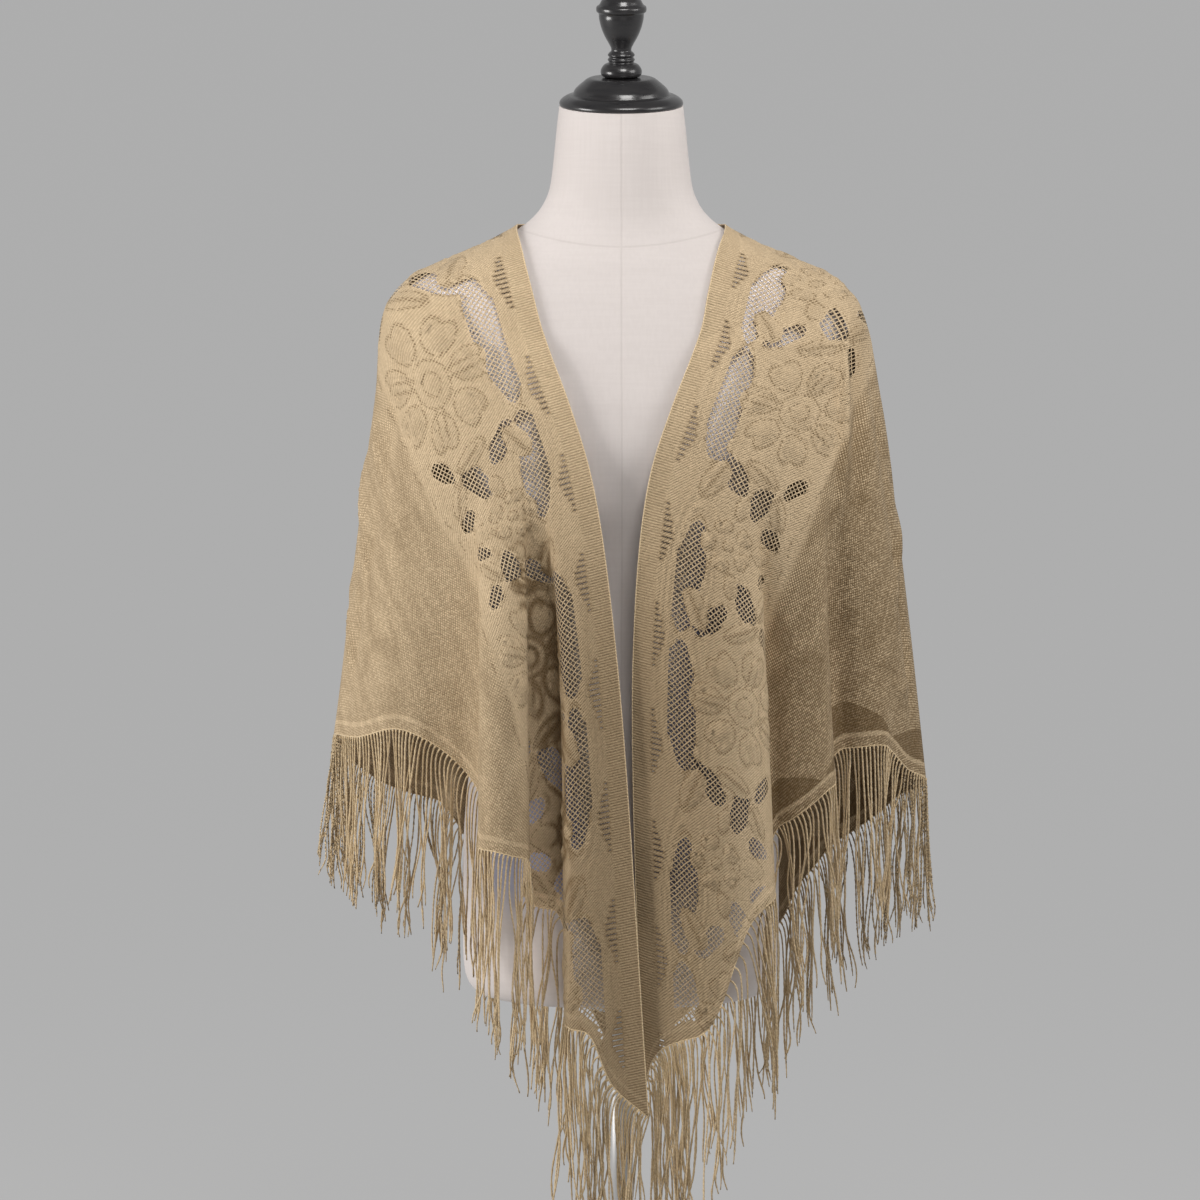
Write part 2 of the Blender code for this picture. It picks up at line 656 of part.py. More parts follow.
def turned(group, name, profile, base_z, finish, centre_y=0.0, tilt=0.0):
    """Build a turned piece from radius and height pairs."""
    rings = []
    for radius, height in profile:
        ring = []
        for k in range(TURNED_SIDES):
            angle = 2.0 * math.pi * k / TURNED_SIDES
            ring.append((radius * math.cos(angle) * MM, radius * math.sin(angle) * MM, height * MM))
        rings.append(ring)
    builder = bmesh.new()
    loft(builder, rings)
    place = Matrix.Translation((0.0, centre_y * MM, base_z * MM)) @ Matrix.Rotation(tilt, 4, "X")
    bmesh.ops.transform(builder, matrix=place, verts=builder.verts[:])
    return add_object(group, name, builder, finish)


def build_form(group):
    """Build the form, its cap and knob, and the plain stand."""
    dress_form(group)
    seat = CAP_SEAT_Z - 1.0 + JOIN_GAP
    turned(group, "neck_cap", CAP_PROFILE, seat, "black_wood", CAP_SEAT_Y, CAP_TILT)
    turned(group, "cap_knob", KNOB_PROFILE, seat, "black_wood", CAP_SEAT_Y, CAP_TILT)
    turned(group, "form_collar", COLLAR_PROFILE, FORM_BOTTOM, "pale_metal")
    pole_top = FORM_BOTTOM - COLLAR_HEIGHT - 2.0 * JOIN_GAP
    pole = [(POLE_RADIUS, BASE_HEIGHT + 8.0 + JOIN_GAP), (POLE_RADIUS, pole_top)]
    turned(group, "stand_pole", pole, 0.0, "pale_metal")
    turned(group, "stand_base", BASE_PROFILE, 0.0, "pale_metal")


def build_shawl(group):
    """Build the stretches of the shawl and their fringes."""
    for name, side, first, last, strands, seed in PANELS:
        grid = panel_grid(side, first, last)
        cloth_panel(group, name, grid)
        fringe_strip(group, name, grid, strands, seed)


def main():
    """Build the whole object."""
    clear_scene()
    group = make_collection("lace_shawl_on_dress_form")
    build_form(group)
    build_shawl(group)


main()
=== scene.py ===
"""Lace shawl on a linen dress form: the finish of every piece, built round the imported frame."""

import logging
import math
from dataclasses import dataclass, field
from enum import Enum
from typing import Sequence

import bpy
import numpy as np
from mathutils import Matrix, Vector

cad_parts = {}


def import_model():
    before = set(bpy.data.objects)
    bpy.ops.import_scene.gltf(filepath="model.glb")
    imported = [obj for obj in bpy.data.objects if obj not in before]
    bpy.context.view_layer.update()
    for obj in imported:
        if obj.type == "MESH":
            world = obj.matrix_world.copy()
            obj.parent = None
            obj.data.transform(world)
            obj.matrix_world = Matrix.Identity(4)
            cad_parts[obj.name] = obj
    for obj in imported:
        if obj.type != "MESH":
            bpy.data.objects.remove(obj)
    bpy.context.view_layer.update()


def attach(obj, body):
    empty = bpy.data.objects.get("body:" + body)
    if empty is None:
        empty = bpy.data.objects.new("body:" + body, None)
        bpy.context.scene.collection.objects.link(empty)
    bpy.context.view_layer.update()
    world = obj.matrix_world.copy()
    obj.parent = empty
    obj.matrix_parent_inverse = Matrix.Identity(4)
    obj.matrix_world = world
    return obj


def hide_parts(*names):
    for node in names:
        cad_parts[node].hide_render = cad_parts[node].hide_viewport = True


MM = 0.001
TINY = 1e-9
TURN = 2.0 * math.pi
QUARTER = math.pi / 2.0
Array = np.ndarray
Item = bpy.types.Object
Socket = bpy.types.NodeSocket
Material = bpy.types.Material
Span = tuple[float, float]
Colour = tuple[float, float, float]

logging.basicConfig(level=logging.INFO, format="%(name)s: %(message)s")
LOG = logging.getLogger("lace_shawl")


class Side(Enum):
    """The viewer's left and right, as the sign of x."""

    LEFT = -1
    RIGHT = 1


class Stretch(Enum):
    """Stretches of the shawl, each on its own node."""

    LEFT_WING = "left_wing"
    RIGHT_WING = "right_wing"
    LEFT_BACK = "left_back"
    RIGHT_BACK = "right_back"


# ---------------------------------------------------------------- curves


def smooth_table(keys: Sequence[float], values: Sequence[float], at: Array) -> Array:
    """Interpolate a table column by a monotone cubic.

    Args:
        keys: Rising keys of the rows.
        values: The column's value at each key.
        at: Places to read the column at.

    Returns:
        The value at each place.
    """
    key, value = np.asarray(keys, float), np.asarray(values, float)
    at = np.clip(np.asarray(at, float), key[0], key[-1])
    steps = np.diff(key)
    slopes = np.diff(value) / steps
    tangents = np.zeros_like(value)
    for i in range(1, len(key) - 1):
        if slopes[i - 1] * slopes[i] > 0.0:
            w_a = 2.0 * steps[i] + steps[i - 1]
            w_b = steps[i] + 2.0 * steps[i - 1]
            tangents[i] = (w_a + w_b) / (w_a / slopes[i - 1] + w_b / slopes[i])
    tangents[0], tangents[-1] = slopes[0], slopes[-1]
    return hermite(key, value[:, None], tangents[:, None], at)[:, 0]


def curve_through(points: Sequence, keys: Array, at: Array) -> Array:
    """Evaluate a smooth curve through points.

    Args:
        points: The points, a row each.
        keys: Rising curve keys of the points.
        at: Keys to evaluate the curve at.

    Returns:
        A point for each key.
    """
    point, key = np.asarray(points, float), np.asarray(keys, float)
    at = np.clip(np.asarray(at, float), key[0], key[-1])
    steps = np.diff(key)[:, None]
    slopes = np.diff(point, axis=0) / steps
    tangents = np.empty_like(point)
    tangents[1:-1] = (slopes[:-1] * steps[1:] + slopes[1:] * steps[:-1]) / (steps[:-1] + steps[1:])
    tangents[0], tangents[-1] = slopes[0], slopes[-1]
    return hermite(key, point, tangents, at)


def hermite(key: Array, value: Array, tangent: Array, at: Array) -> Array:
    """Evaluate a cubic with given tangents at its keys.

    Args:
        key: Rising keys.
        value: A row of values for each key.
        tangent: A row of slopes for each key.
        at: Places to evaluate the cubic at.

    Returns:
        A row of values for each place.
    """
    cell = np.clip(np.searchsorted(key, at, side="right") - 1, 0, len(key) - 2)
    h = (key[cell + 1] - key[cell])[:, None]
    t = (at - key[cell])[:, None] / h
    low = (1.0 + 2.0 * t) * (1.0 - t) ** 2 * value[cell] + t * (1.0 - t) ** 2 * h * tangent[cell]
    high = t * t * (3.0 - 2.0 * t) * value[cell + 1] + t * t * (t - 1.0) * h * tangent[cell + 1]
    return low + high


def chord_keys(points: Sequence, power: float = 0.5) -> Array:
    """Return running chord lengths raised to a power."""
    gaps = np.linalg.norm(np.diff(np.asarray(points, float), axis=0), axis=1)
    return np.concatenate([[0.0], np.cumsum(np.maximum(gaps, 1e-6) ** power)])


def smoothstep(low: float, high: float, at: Array) -> Array:
    """Return 0 below low, 1 above high and a smooth rise between."""
    t = np.clip((np.asarray(at, float) - low) / (high - low), 0.0, 1.0)
    return t * t * (3.0 - 2.0 * t)


def window(rise: Span, fall: Span, at: Array) -> Array:
    """Return 1 between two smooth steps, the first one up and the second one down."""
    return smoothstep(*rise, at) * (1.0 - smoothstep(*fall, at))


def unit(vectors: Array) -> Array:
    """Return vectors scaled to a length of one."""
    return vectors / np.maximum(np.linalg.norm(vectors, axis=-1, keepdims=True), TINY)


def running_lengths(lines: Array) -> Array:
    """Return the running length along each of many lines."""
    gaps = np.linalg.norm(np.diff(lines, axis=1), axis=2)
    return np.concatenate([np.zeros((len(lines), 1)), np.cumsum(gaps, axis=1)], axis=1)


def read_columns(at: Array, keys: Array, table: Array) -> Array:
    """Interpolate every column of a table at the same places."""
    return np.stack([np.interp(at, keys, column) for column in table.T], axis=1)


def bilinear(table: Array, column: Array, row: Array) -> Array:
    """Read a grid table between its cells, and past its last row in a straight line.

    Args:
        table: Values by column and row.
        column: Column numbers with their fractions.
        row: Row numbers with their fractions.

    Returns:
        The value at each place.
    """
    i = np.clip(column.astype(int), 0, table.shape[0] - 2)
    j = np.clip(row.astype(int), 0, table.shape[1] - 2)
    shape = (-1,) + (1,) * (table.ndim - 2)
    a, b = (column - i).reshape(shape), (row - j).reshape(shape)
    low = table[i, j] * (1.0 - a) + table[i + 1, j] * a
    high = table[i, j + 1] * (1.0 - a) + table[i + 1, j + 1] * a
    return low * (1.0 - b) + high * b


# ---------------------------------------------------------------- the form's shape


@dataclass(frozen=True)
class BodyShape:
    """Padded body as sections, in millimetres, and how far points lie outside it."""

    bottom: float = 350.0
    top: float = 1132.0
    near_share: float = 0.3
    passes: int = 6
    longest_move: float = 12.0
    sections: tuple = (
        # z, half_width, front, back, centre_y, power
        (350, 112, 84, 88, 0, 2.2), (352, 121, 91, 95, 0, 2.2), (358, 131, 98, 102, 0, 2.3),
        (370, 137.5, 102, 107, 0, 2.3), (392, 139.5, 104, 108, 0, 2.3),
        (480, 139, 103, 107, 0, 2.3), (525, 136.5, 100, 102, 0, 2.3), (580, 128, 93, 92, 0, 2.3),
        (640, 117, 87, 83, 0, 2.3), (690, 117, 89, 82, 0, 2.3), (745, 130, 100, 88, 0, 2.35),
        (795, 146, 112, 96, 0, 2.4), (835, 158, 117, 101, 0, 2.4), (870, 172, 113, 103, 0, 2.35),
        (900, 188, 105, 102, 0, 2.3), (925, 196, 98, 98, 0, 2.3), (945, 199, 92, 93, 0, 2.3),
        (958, 198, 88, 88, 0, 2.3), (968, 192, 85, 84, 0, 2.25), (976, 183, 82, 80, 0, 2.2),
        (985, 170, 79, 76, 0, 2.15), (995, 150, 76, 72, 0, 2.1), (1006, 126, 71, 67, 0, 2.05),
        (1016, 106, 67, 64, -0.5, 2), (1025, 90, 64, 61, -1, 2), (1034, 78, 61.5, 59.5, -2, 2),
        (1044, 69.5, 60, 58.5, -3, 2), (1060, 62.5, 58.5, 57.5, -4.5, 2),
        (1085, 59, 57, 56.5, -6, 2), (1110, 56.5, 55.5, 55, -7.5, 2), (1132, 54, 54, 54, -8, 2),
    )

    def columns(self, z: Array) -> list[Array]:
        """Return half width, front, back, centre and power at heights.

        Args:
            z: Heights in millimetres.

        Returns:
            The five tables at those heights.
        """
        keys, *values = zip(*self.sections)
        fine = np.arange(keys[0], keys[-1] + 0.5, 1.0)
        return [np.interp(z, fine, smooth_table(keys, column, fine)) for column in values]

    def measure(self, points: Array) -> Array:
        """Return how far points are outside the body, as a share of its size.

        Args:
            points: Points in millimetres, a row each.

        Returns:
            A share for each point, negative inside.
        """
        half, front, back, centre, power = self.columns(points[:, 2])
        y = points[:, 1] - centre
        depth = np.where(y < 0.0, front, back)
        total = (np.abs(points[:, 0]) / half) ** power + (np.abs(y) / depth) ** power
        return np.maximum(total, TINY) ** (1.0 / power) - 1.0

    def slope(self, points: Array) -> Array:
        """Return the slope of the measure at points.

        Args:
            points: Places in millimetres.

        Returns:
            The slope along x, y and z at every point.
        """
        steps = np.eye(3) * 0.5
        slopes = [self.measure(points + step) - self.measure(points - step) for step in steps]
        return np.stack(slopes, axis=1)

    def push_clear(self, points: Array, clear: float) -> Array:
        """Move points out of the body until they clear it.

        Args:
            points: Points in millimetres, a row each.
            clear: Least distance from the body.

        Returns:
            The moved points.
        """
        moved = points.copy()
        near = self.measure(moved) < self.near_share
        for _ in range(self.passes):
            part = moved[near]
            slope = self.slope(part)
            size = np.maximum(np.linalg.norm(slope, axis=1), 1e-6)
            short = np.maximum(clear - self.measure(part) / size, 0.0)
            short = np.where(part[:, 2] < self.bottom - 2.0, 0.0, short)
            move = np.minimum(short, self.longest_move)
            moved[near] = part + slope / size[:, None] * move[:, None]
        return moved


# ---------------------------------------------------------------- the drape


@dataclass(frozen=True)
class Crease:
    """A soft trough or ridge across the drape, between two points of it."""

    around: float
    share: float
    around_end: float
    share_end: float
    depth: float
    width: float


@dataclass
class Drape:
    """Worn form of one side of the shawl, from the long edge to the centre back.

    A cloth line starts at the neckline and runs over the body to the hem. Lengths
    are in millimetres, and around goes from 0 at the long edge over 1 at the arm
    side to 2 at the centre back.
    """

    side: Side
    body: BodyShape
    folds: tuple
    back_folds: tuple
    creases: tuple[Crease, ...]
    clear: float = 3.4
    mid_z: float = 664.0
    front_share: float = 0.30
    fan_radius: float = 2.5
    columns: int = 420
    rows: int = 260
    spare_rows: int = 30
    around_scale: float = 230.0
    share_scale: float = 600.0
    flat_step: float = 4.0
    flat_spare: float = 80.0
    side_blend: Span = (0.85, 1.15)
    coarse: tuple[int, int] = (14, 10)
    block: int = 20000
    passes: int = 24
    longest_move: float = 8.0
    rings: tuple = (
        # half_left, half_right, front, back, z_front, z_side, z_back, edge_left, edge_right, power
        (114, 114, 92, 69, 980, 1015, 1017, -84, 81, 2.1),
        (148, 148, 95, 79, 956, 1001, 1000, -76, 74, 2.1),
        (186, 188, 97, 90, 935, 982, 970, -69, 69, 2.15),
        (207, 210, 108, 102, 912, 955, 930, -60, 60, 2.2),
        (216, 227, 122, 116, 872, 880, 872, -44, 43, 2.2),
        (226, 238, 131, 126, 808, 808, 802, -25, 23, 2.2),
    )
    neckline: tuple = (
        # x, y, z from the shoulder point round to the nape, on the left
        (-89, -8, 1026), (-88, 12, 1028), (-80, 34, 1030),
        (-62, 54, 1033), (-34, 66, 1035), (0, 70, 1036),
    )
    around: Array = field(init=False)
    points: Array = field(init=False)
    lengths: Array = field(init=False)
    flat: Array = field(init=False)
    grid: Array = field(init=False)
    grid_normals: Array = field(init=False)

    def __post_init__(self) -> None:
        """Work out the fine lines and their flat places."""
        self._rings = [self._ring(row) for row in self.rings]
        self._neck_keys = chord_keys(self.neckline, 1.0)
        self._make_lines()
        self._make_grid()
        self._make_flat()

    def _ring(self, row: tuple) -> tuple:
        """Return a yoke ring of this side: half, front, back, heights, first angle and power.

        Args:
            row: The ring's row for both sides.

        Returns:
            The ring's row for this side.
        """
        half_left, half_right, *depths, edge_left, edge_right, power = row
        half, edge = (half_left, edge_left) if self.side is Side.LEFT else (half_right, edge_right)
        return (half, *depths, self._angle(edge, half, power), power)

    @staticmethod
    def _angle(x: float, half: float, power: float) -> float:
        """Return the ring angle at which a rounded ring has this x."""
        return math.asin(min(1.0, abs(x) / half) ** (power / 2.0))

    def start_share(self, around: float) -> float:
        """Return how far along the neckline a cloth line starts."""
        back = (1.0 - self.front_share) * max(around - 1.0, 0.0)
        return self.front_share * min(around, 1.0) ** 3 + back

    def _yoke(self, around: float) -> list[tuple]:
        """Lay the upper part of one cloth line.

        Args:
            around: Where the line runs, from 0 at the long edge to 2 at the centre back.

        Returns:
            Its points on the neckline and on every yoke ring.
        """
        share = [self.start_share(around) * self._neck_keys[-1]]
        start = curve_through(self.neckline, self._neck_keys, share)[0]
        points = [(start[0] * -self.side.value, start[1], start[2])]
        for half, front, back, z_front, z_side, z_back, first, power in self._rings:
            if around < 1.0:
                angle = first + (QUARTER - first) * around
                z = z_front + (z_side - z_front) * math.sin(angle) ** 2
            else:
                angle = QUARTER * around
                z = z_back + (z_side - z_back) * math.sin(angle) ** 2
            x = half * math.sin(angle) ** (2.0 / power)
            c = math.cos(angle)
            y = -math.copysign(abs(c) ** (2.0 / power), c) * (front if c > 0.0 else back)
            points.append((self.side.value * x, y, z))
        if around < 1.0:
            reach = np.asarray(points[1]) - np.asarray(points[0])
            reach *= self.fan_radius * (1.0 - around) / np.linalg.norm(reach)
            points[0] = tuple(np.asarray(points[0]) + reach)
        return points

    def _fold_rows(self) -> Array:
        """Return every fold line as a row of around, middle point and hem point.

        Returns:
            The rows in order of their around.
        """
        half, *_, first, power = self._rings[-1]
        rows = [((self._angle(x_bust, half, power) - first) / (QUARTER - first), *places)
                for x_bust, *places in self.folds]
        rows += self.back_folds
        return np.array([(around, x, y, self.mid_z, *hem) for around, x, y, *hem in rows])

    def _make_lines(self) -> None:
        """Lay fine cloth lines, put the creases in and clear the body."""
        rows = self._fold_rows()
        keys = chord_keys(rows[:, 4:])
        places = np.linspace(0.0, keys[-1], self.columns)
        self.around = smooth_table(keys, rows[:, 0], places)
        middle, hem = (curve_through(part, keys, places) for part in (rows[:, 1:4], rows[:, 4:]))
        shares = np.linspace(0.0, 1.0, self.rows)
        lines = []
        for value, *ends in zip(self.around, middle, hem):
            control = np.asarray([*self._yoke(float(value)), *ends])
            steps = chord_keys(control)
            lines.append(curve_through(control, steps, np.linspace(0.0, steps[-1], self.rows)))
        lines = self._creased(self.even_rows(np.asarray(lines), shares), shares)
        clear = self.body.push_clear(lines.reshape(-1, 3), self.clear).reshape(lines.shape)
        self.points = self.even_rows(clear, shares)
        self.lengths = running_lengths(self.points)[:, -1]

    @staticmethod
    def even_rows(lines: Array, shares: Array) -> Array:
        """Sample each line anew at shares of its length.

        Args:
            lines: Points of every line.
            shares: Shares of the length, from 0 to 1.

        Returns:
            The new points of every line.
        """
        runs = running_lengths(lines)
        return np.asarray([read_columns(shares * run[-1], run, line)
                           for line, run in zip(lines, runs)])

    def normals(self, points: Array) -> Array:
        """Return outward unit normals of a grid of points."""
        across, along = np.gradient(points, axis=0), np.gradient(points, axis=1)
        return unit(np.cross(along, across) * self.side.value)

    def _creased(self, lines: Array, shares: Array) -> Array:
        """Push soft troughs and ridges into the lines.

        Args:
            lines: Points of the cloth lines.
            shares: How far down its line each row lies.

        Returns:
            The moved points.
        """
        shift = np.zeros(lines.shape[:2])
        grid_a = self.around[:, None] + np.zeros_like(shares)[None]
        grid_s = shares[None] + np.zeros_like(self.around)[:, None]
        for crease in self.creases:
            axis = np.array([(crease.around_end - crease.around) * self.around_scale,
                             (crease.share_end - crease.share) * self.share_scale])
            length = float(np.linalg.norm(axis))
            axis /= length
            x = (grid_a - crease.around) * self.around_scale
            y = (grid_s - crease.share) * self.share_scale
            along = (x * axis[0] + y * axis[1]) / length
            off = x * -axis[1] + y * axis[0]
            ends = window((-0.15, 0.25), (0.75, 1.15), along)
            shift += crease.depth * ends * np.exp(-(off / crease.width) ** 2)
        return lines + self.normals(lines) * shift[:, :, None]

    def _make_grid(self) -> None:
        """Lengthen the grid of points by spare rows past the hem."""
        self._shares = np.linspace(0.0, 1.0, self.rows)
        spare = 1.0 + self._shares[1] * np.arange(1, self.spare_rows)
        self._shares = np.concatenate([self._shares, spare])
        fall = unit(self.points[:, -1] - self.points[:, -3])
        past = (spare - 1.0)[None] * self.lengths[:, None]
        extra = self.points[:, -1:] + fall[:, None] * past[:, :, None]
        self.grid = np.concatenate([self.points, extra], axis=1)
        self.grid_normals = self.normals(self.grid)

    def _levels(self) -> tuple[Array, Array]:
        """Measure the drape at even distances below the neckline.

        Returns:
            The distances, and for each line and distance how far it is from the long edge.
        """
        levels = np.arange(0.0, self.lengths.max() + self.flat_spare, self.flat_step)
        grid = np.empty((self.columns, len(levels), 3))
        for k in range(self.columns):
            run = np.linspace(0.0, self.lengths[k], self.rows)
            grid[k] = read_columns(levels, run, self.points[k])
            past = np.maximum(levels - self.lengths[k], 0.0)
            fall = self.points[k, -1] - self.points[k, -4]
            grid[k] += past[:, None] * fall / np.linalg.norm(fall)
        gap = np.diff(grid, axis=0)
        along = unit(np.gradient(grid, axis=1))
        middle = unit(along[1:] + along[:-1])
        gap -= (gap * middle).sum(2, keepdims=True) * middle
        width = np.linalg.norm(gap, axis=2)
        return levels, np.concatenate([np.zeros((1, len(levels))), np.cumsum(width, axis=0)])

    def _make_flat(self) -> None:
        """Work out where each grid point lies on the flat cloth, as a fan round the neckline."""
        neck = self._neck_keys[-1]
        starts = np.array([self.start_share(float(a)) for a in self.around]) * neck
        fan = self.fan_radius * np.maximum(1.0 - self.around, 0.0)
        levels, from_edge = self._levels()
        from_back = from_edge[-1] - from_edge
        reach = levels + 4.0
        first, steady = 8, 10
        last = int((self.lengths.min() + self.flat_spare * 0.7) / self.flat_step)
        scale = QUARTER / np.maximum((from_edge[-1] - neck) / reach, 0.2)
        scale[last:] = scale[last]
        scale[:first] = scale[first]
        share = smoothstep(0.0, 1.0, self.around)[:, None]
        front = (from_edge - starts[:, None]) / (levels[None] + fan[:, None] + 0.5)
        front = front * (1.0 + (scale[None] - 1.0) * share)
        back = QUARTER - scale[None] * (from_back - (neck - starts)[:, None]) / reach[None]
        mix = smoothstep(*self.side_blend, self.around)[:, None]
        angle = front * (1.0 - mix) + back * mix
        angle[:, :steady] = angle[:, steady:steady + 1]
        self.flat = np.empty((self.columns, len(self._shares), 2))
        for k in range(self.columns):
            at = self._shares * self.lengths[k]
            bend = np.interp(at, levels, angle[k])
            self.flat[k, :, 0] = neck - starts[k] + (at + fan[k]) * np.cos(bend)
            self.flat[k, :, 1] = (at + fan[k]) * np.sin(bend)

    def find(self, flat: Array) -> tuple[Array, Array, Array]:
        """Find flat places on the drape.

        Args:
            flat: Places on the flat cloth as distance from the centre back and depth.

        Returns:
            Grid columns, grid rows and how far off the found places are.
        """
        every = self.flat[::self.coarse[0], ::self.coarse[1]]
        coarse = every.reshape(-1, 2)
        nearest = np.empty(len(flat), int)
        for start in range(0, len(flat), self.block):
            u, v = (flat[start:start + self.block, axis, None] for axis in (0, 1))
            away = (u - coarse[None, :, 0]) ** 2 + (v - coarse[None, :, 1]) ** 2
            nearest[start:start + self.block] = away.argmin(axis=1)
        column = (nearest // every.shape[1]) * float(self.coarse[0])
        row = (nearest % every.shape[1]) * float(self.coarse[1])
        by_column, by_row = np.gradient(self.flat, axis=0), np.gradient(self.flat, axis=1)
        most = self.longest_move
        for _ in range(self.passes):
            miss = flat - bilinear(self.flat, column, row)
            a, b = bilinear(by_column, column, row), bilinear(by_row, column, row)
            det = a[:, 0] * b[:, 1] - a[:, 1] * b[:, 0]
            det = np.where(np.abs(det) < 1e-4, 1e-4, det)
            move_c = (miss[:, 0] * b[:, 1] - miss[:, 1] * b[:, 0]) / det
            move_r = (a[:, 0] * miss[:, 1] - a[:, 1] * miss[:, 0]) / det
            column = np.clip(column + np.clip(move_c, -most, most), 0.0, self.columns - 1.0)
            row = np.clip(row + np.clip(move_r, -most, most), 0.0, self.flat.shape[1] - 1.0)
        miss = np.linalg.norm(flat - bilinear(self.flat, column, row), axis=1)
        return column, row, miss


LEFT_FOLDS = (
    # x_bust, x_mid, y_mid, x_hem, y_hem, z_hem
    (-25, -5, -138, 23, -140, 265), (-39, -21, -144, -8, -147, 294),
    (-53, -38, -147, -29, -150, 339), (-61, -48, -145, -44, -148, 343),
    (-65, -53, -136, -49, -135, 350), (-68, -53, -121, -45, -114, 395),
    (-72, -61, -114, -56, -107, 438), (-78, -72, -114, -72, -106, 442),
    (-84, -81, -119, -85, -112, 455), (-87, -82, -134, -79, -136, 485),
    (-98, -97, -146, -95, -151, 492), (-111, -112, -146, -110, -151, 496),
    (-121, -121, -138, -122, -140, 498), (-128, -118, -121, -116, -114, 525),
    (-137, -132, -108, -131, -94, 554), (-151, -151, -103, -150, -92, 573),
    (-168, -175, -98, -175, -94, 589), (-185, -196, -86, -195, -86, 594),
    (-205, -223, -56, -229, -56, 584), (-226, -243, -12, -252, -12, 582),
)
RIGHT_FOLDS = (
    (23, 10, -127, 18, -124, 272), (33, 24, -133, 26, -129, 311), (43, 38, -138, 36, -134, 324),
    (55, 54, -141, 52, -138, 331), (69, 72, -142, 69, -141, 337), (83, 89, -140, 82, -141, 355),
    (95, 103, -135, 97, -138, 397), (104, 114, -127, 110, -132, 430),
    (111, 121, -118, 124, -124, 445), (116, 123, -107, 132, -112, 452),
    (119, 119, -97, 126, -93, 479), (124, 127, -92, 135, -82, 507),
    (136, 143, -98, 147, -90, 516), (151, 160, -98, 163, -93, 528),
    (165, 174, -92, 178, -89, 541), (173, 180, -81, 185, -78, 546),
    (178, 176, -67, 180, -60, 559), (185, 188, -60, 191, -49, 572),
    (197, 205, -60, 209, -54, 575), (209, 225, -52, 229, -50, 576),
    (218, 236, -42, 237, -38, 569), (228, 246, -26, 252, -22, 552), (238, 255, -2, 269, 2, 542),
)
LEFT_BACK_FOLDS = (
    # around, x_mid, y_mid, x_hem, y_hem, z_hem
    (1.08, -241, 30, -251, 32, 568), (1.18, -229, 68, -238, 72, 548),
    (1.27, -208, 95, -216, 100, 528), (1.36, -185, 117, -190, 124, 515),
    (1.44, -164, 118, -164, 119, 508), (1.50, -148, 106, -152, 102, 496),
    (1.57, -129, 113, -133, 114, 464), (1.65, -109, 134, -110, 140, 428),
    (1.73, -86, 137, -85, 145, 400), (1.80, -63, 121, -62, 120, 376),
    (1.87, -39, 131, -37, 137, 336), (1.94, -17, 142, -17, 150, 293), (2.00, 0, 142, 0, 150, 263),
)
RIGHT_BACK_FOLDS = (
    (1.08, 255, 31, 264, 32, 531), (1.16, 246, 62, 250, 64, 520), (1.25, 227, 88, 233, 90, 501),
    (1.34, 205, 106, 213, 111, 483), (1.42, 183, 111, 192, 115, 468),
    (1.49, 167, 103, 174, 101, 449), (1.56, 153, 113, 161, 116, 430),
    (1.63, 134, 132, 147, 138, 396), (1.71, 111, 138, 123, 146, 369),
    (1.78, 85, 121, 95, 121, 348), (1.86, 58, 132, 64, 138, 313), (1.93, 29, 142, 32, 150, 283),
    (2.00, 0, 142, 0, 150, 263),
)
LEFT_CREASES = tuple(Crease(*row) for row in (
    # around, share, around_end, share_end, depth, width
    (0.62, 0.30, 0.84, 0.95, -4.0, 11.0), (0.95, 0.34, 1.02, 0.97, -3.0, 9.0),
    (0.30, 0.22, 0.22, 0.40, -2.0, 8.0), (1.25, 0.30, 1.20, 0.90, -4.0, 12.0),
    (1.60, 0.22, 1.64, 0.70, 3.0, 12.0), (1.86, 0.25, 1.83, 0.75, -3.0, 10.0),
    (0.72, 0.80, 0.98, 0.52, 4.2, 7.0), (0.76, 0.56, 0.97, 0.78, -3.4, 6.0),
    (0.66, 0.62, 0.86, 0.46, 3.2, 6.5), (0.80, 0.92, 1.04, 0.74, 3.4, 7.0),
))
RIGHT_CREASES = tuple(Crease(*row) for row in (
    (0.44, 0.24, 0.34, 0.62, -3.0, 8.0), (0.58, 0.30, 0.50, 0.90, -4.0, 9.0),
    (0.80, 0.36, 0.86, 0.92, -3.5, 10.0), (1.20, 0.30, 1.26, 0.88, -4.0, 12.0),
    (1.48, 0.25, 1.46, 0.60, 3.0, 10.0), (1.72, 0.30, 1.74, 0.85, -3.0, 11.0),
    (0.74, 0.74, 1.00, 0.60, 3.2, 7.0), (0.80, 0.46, 0.98, 0.58, -2.8, 6.5),
    (0.70, 0.90, 0.92, 0.84, 2.0, 7.0), (0.62, 0.50, 0.72, 0.40, -1.8, 6.0),
    (0.62, 0.32, 0.535, 0.62, 4.5, 5.0), (0.69, 0.32, 0.605, 0.62, -5.0, 9.0),
))


# ---------------------------------------------------------------- meshes


def link_item(name: str, data: bpy.types.ID) -> Item:
    """Return a new object of some data, linked to the scene.

    Args:
        name: The object's name.
        data: What it shows.

    Returns:
        The new object.
    """
    item = bpy.data.objects.new(name, data)
    bpy.context.scene.collection.objects.link(item)
    return item


def build_mesh(name: str, points: Array, faces: Sequence, material: Material) -> Item:
    """Make a smooth mesh object.

    Args:
        name: The piece's name.
        points: Corner points in millimetres, a row each.
        faces: Corner numbers of each face.
        material: What the piece is made of.

    Returns:
        The new object.
    """
    mesh = bpy.data.meshes.new(name)
    mesh.from_pydata((np.asarray(points) * MM).tolist(), [], faces)
    mesh.update()
    mesh.shade_smooth()
    mesh.materials.append(material)
    return link_item(name, mesh)


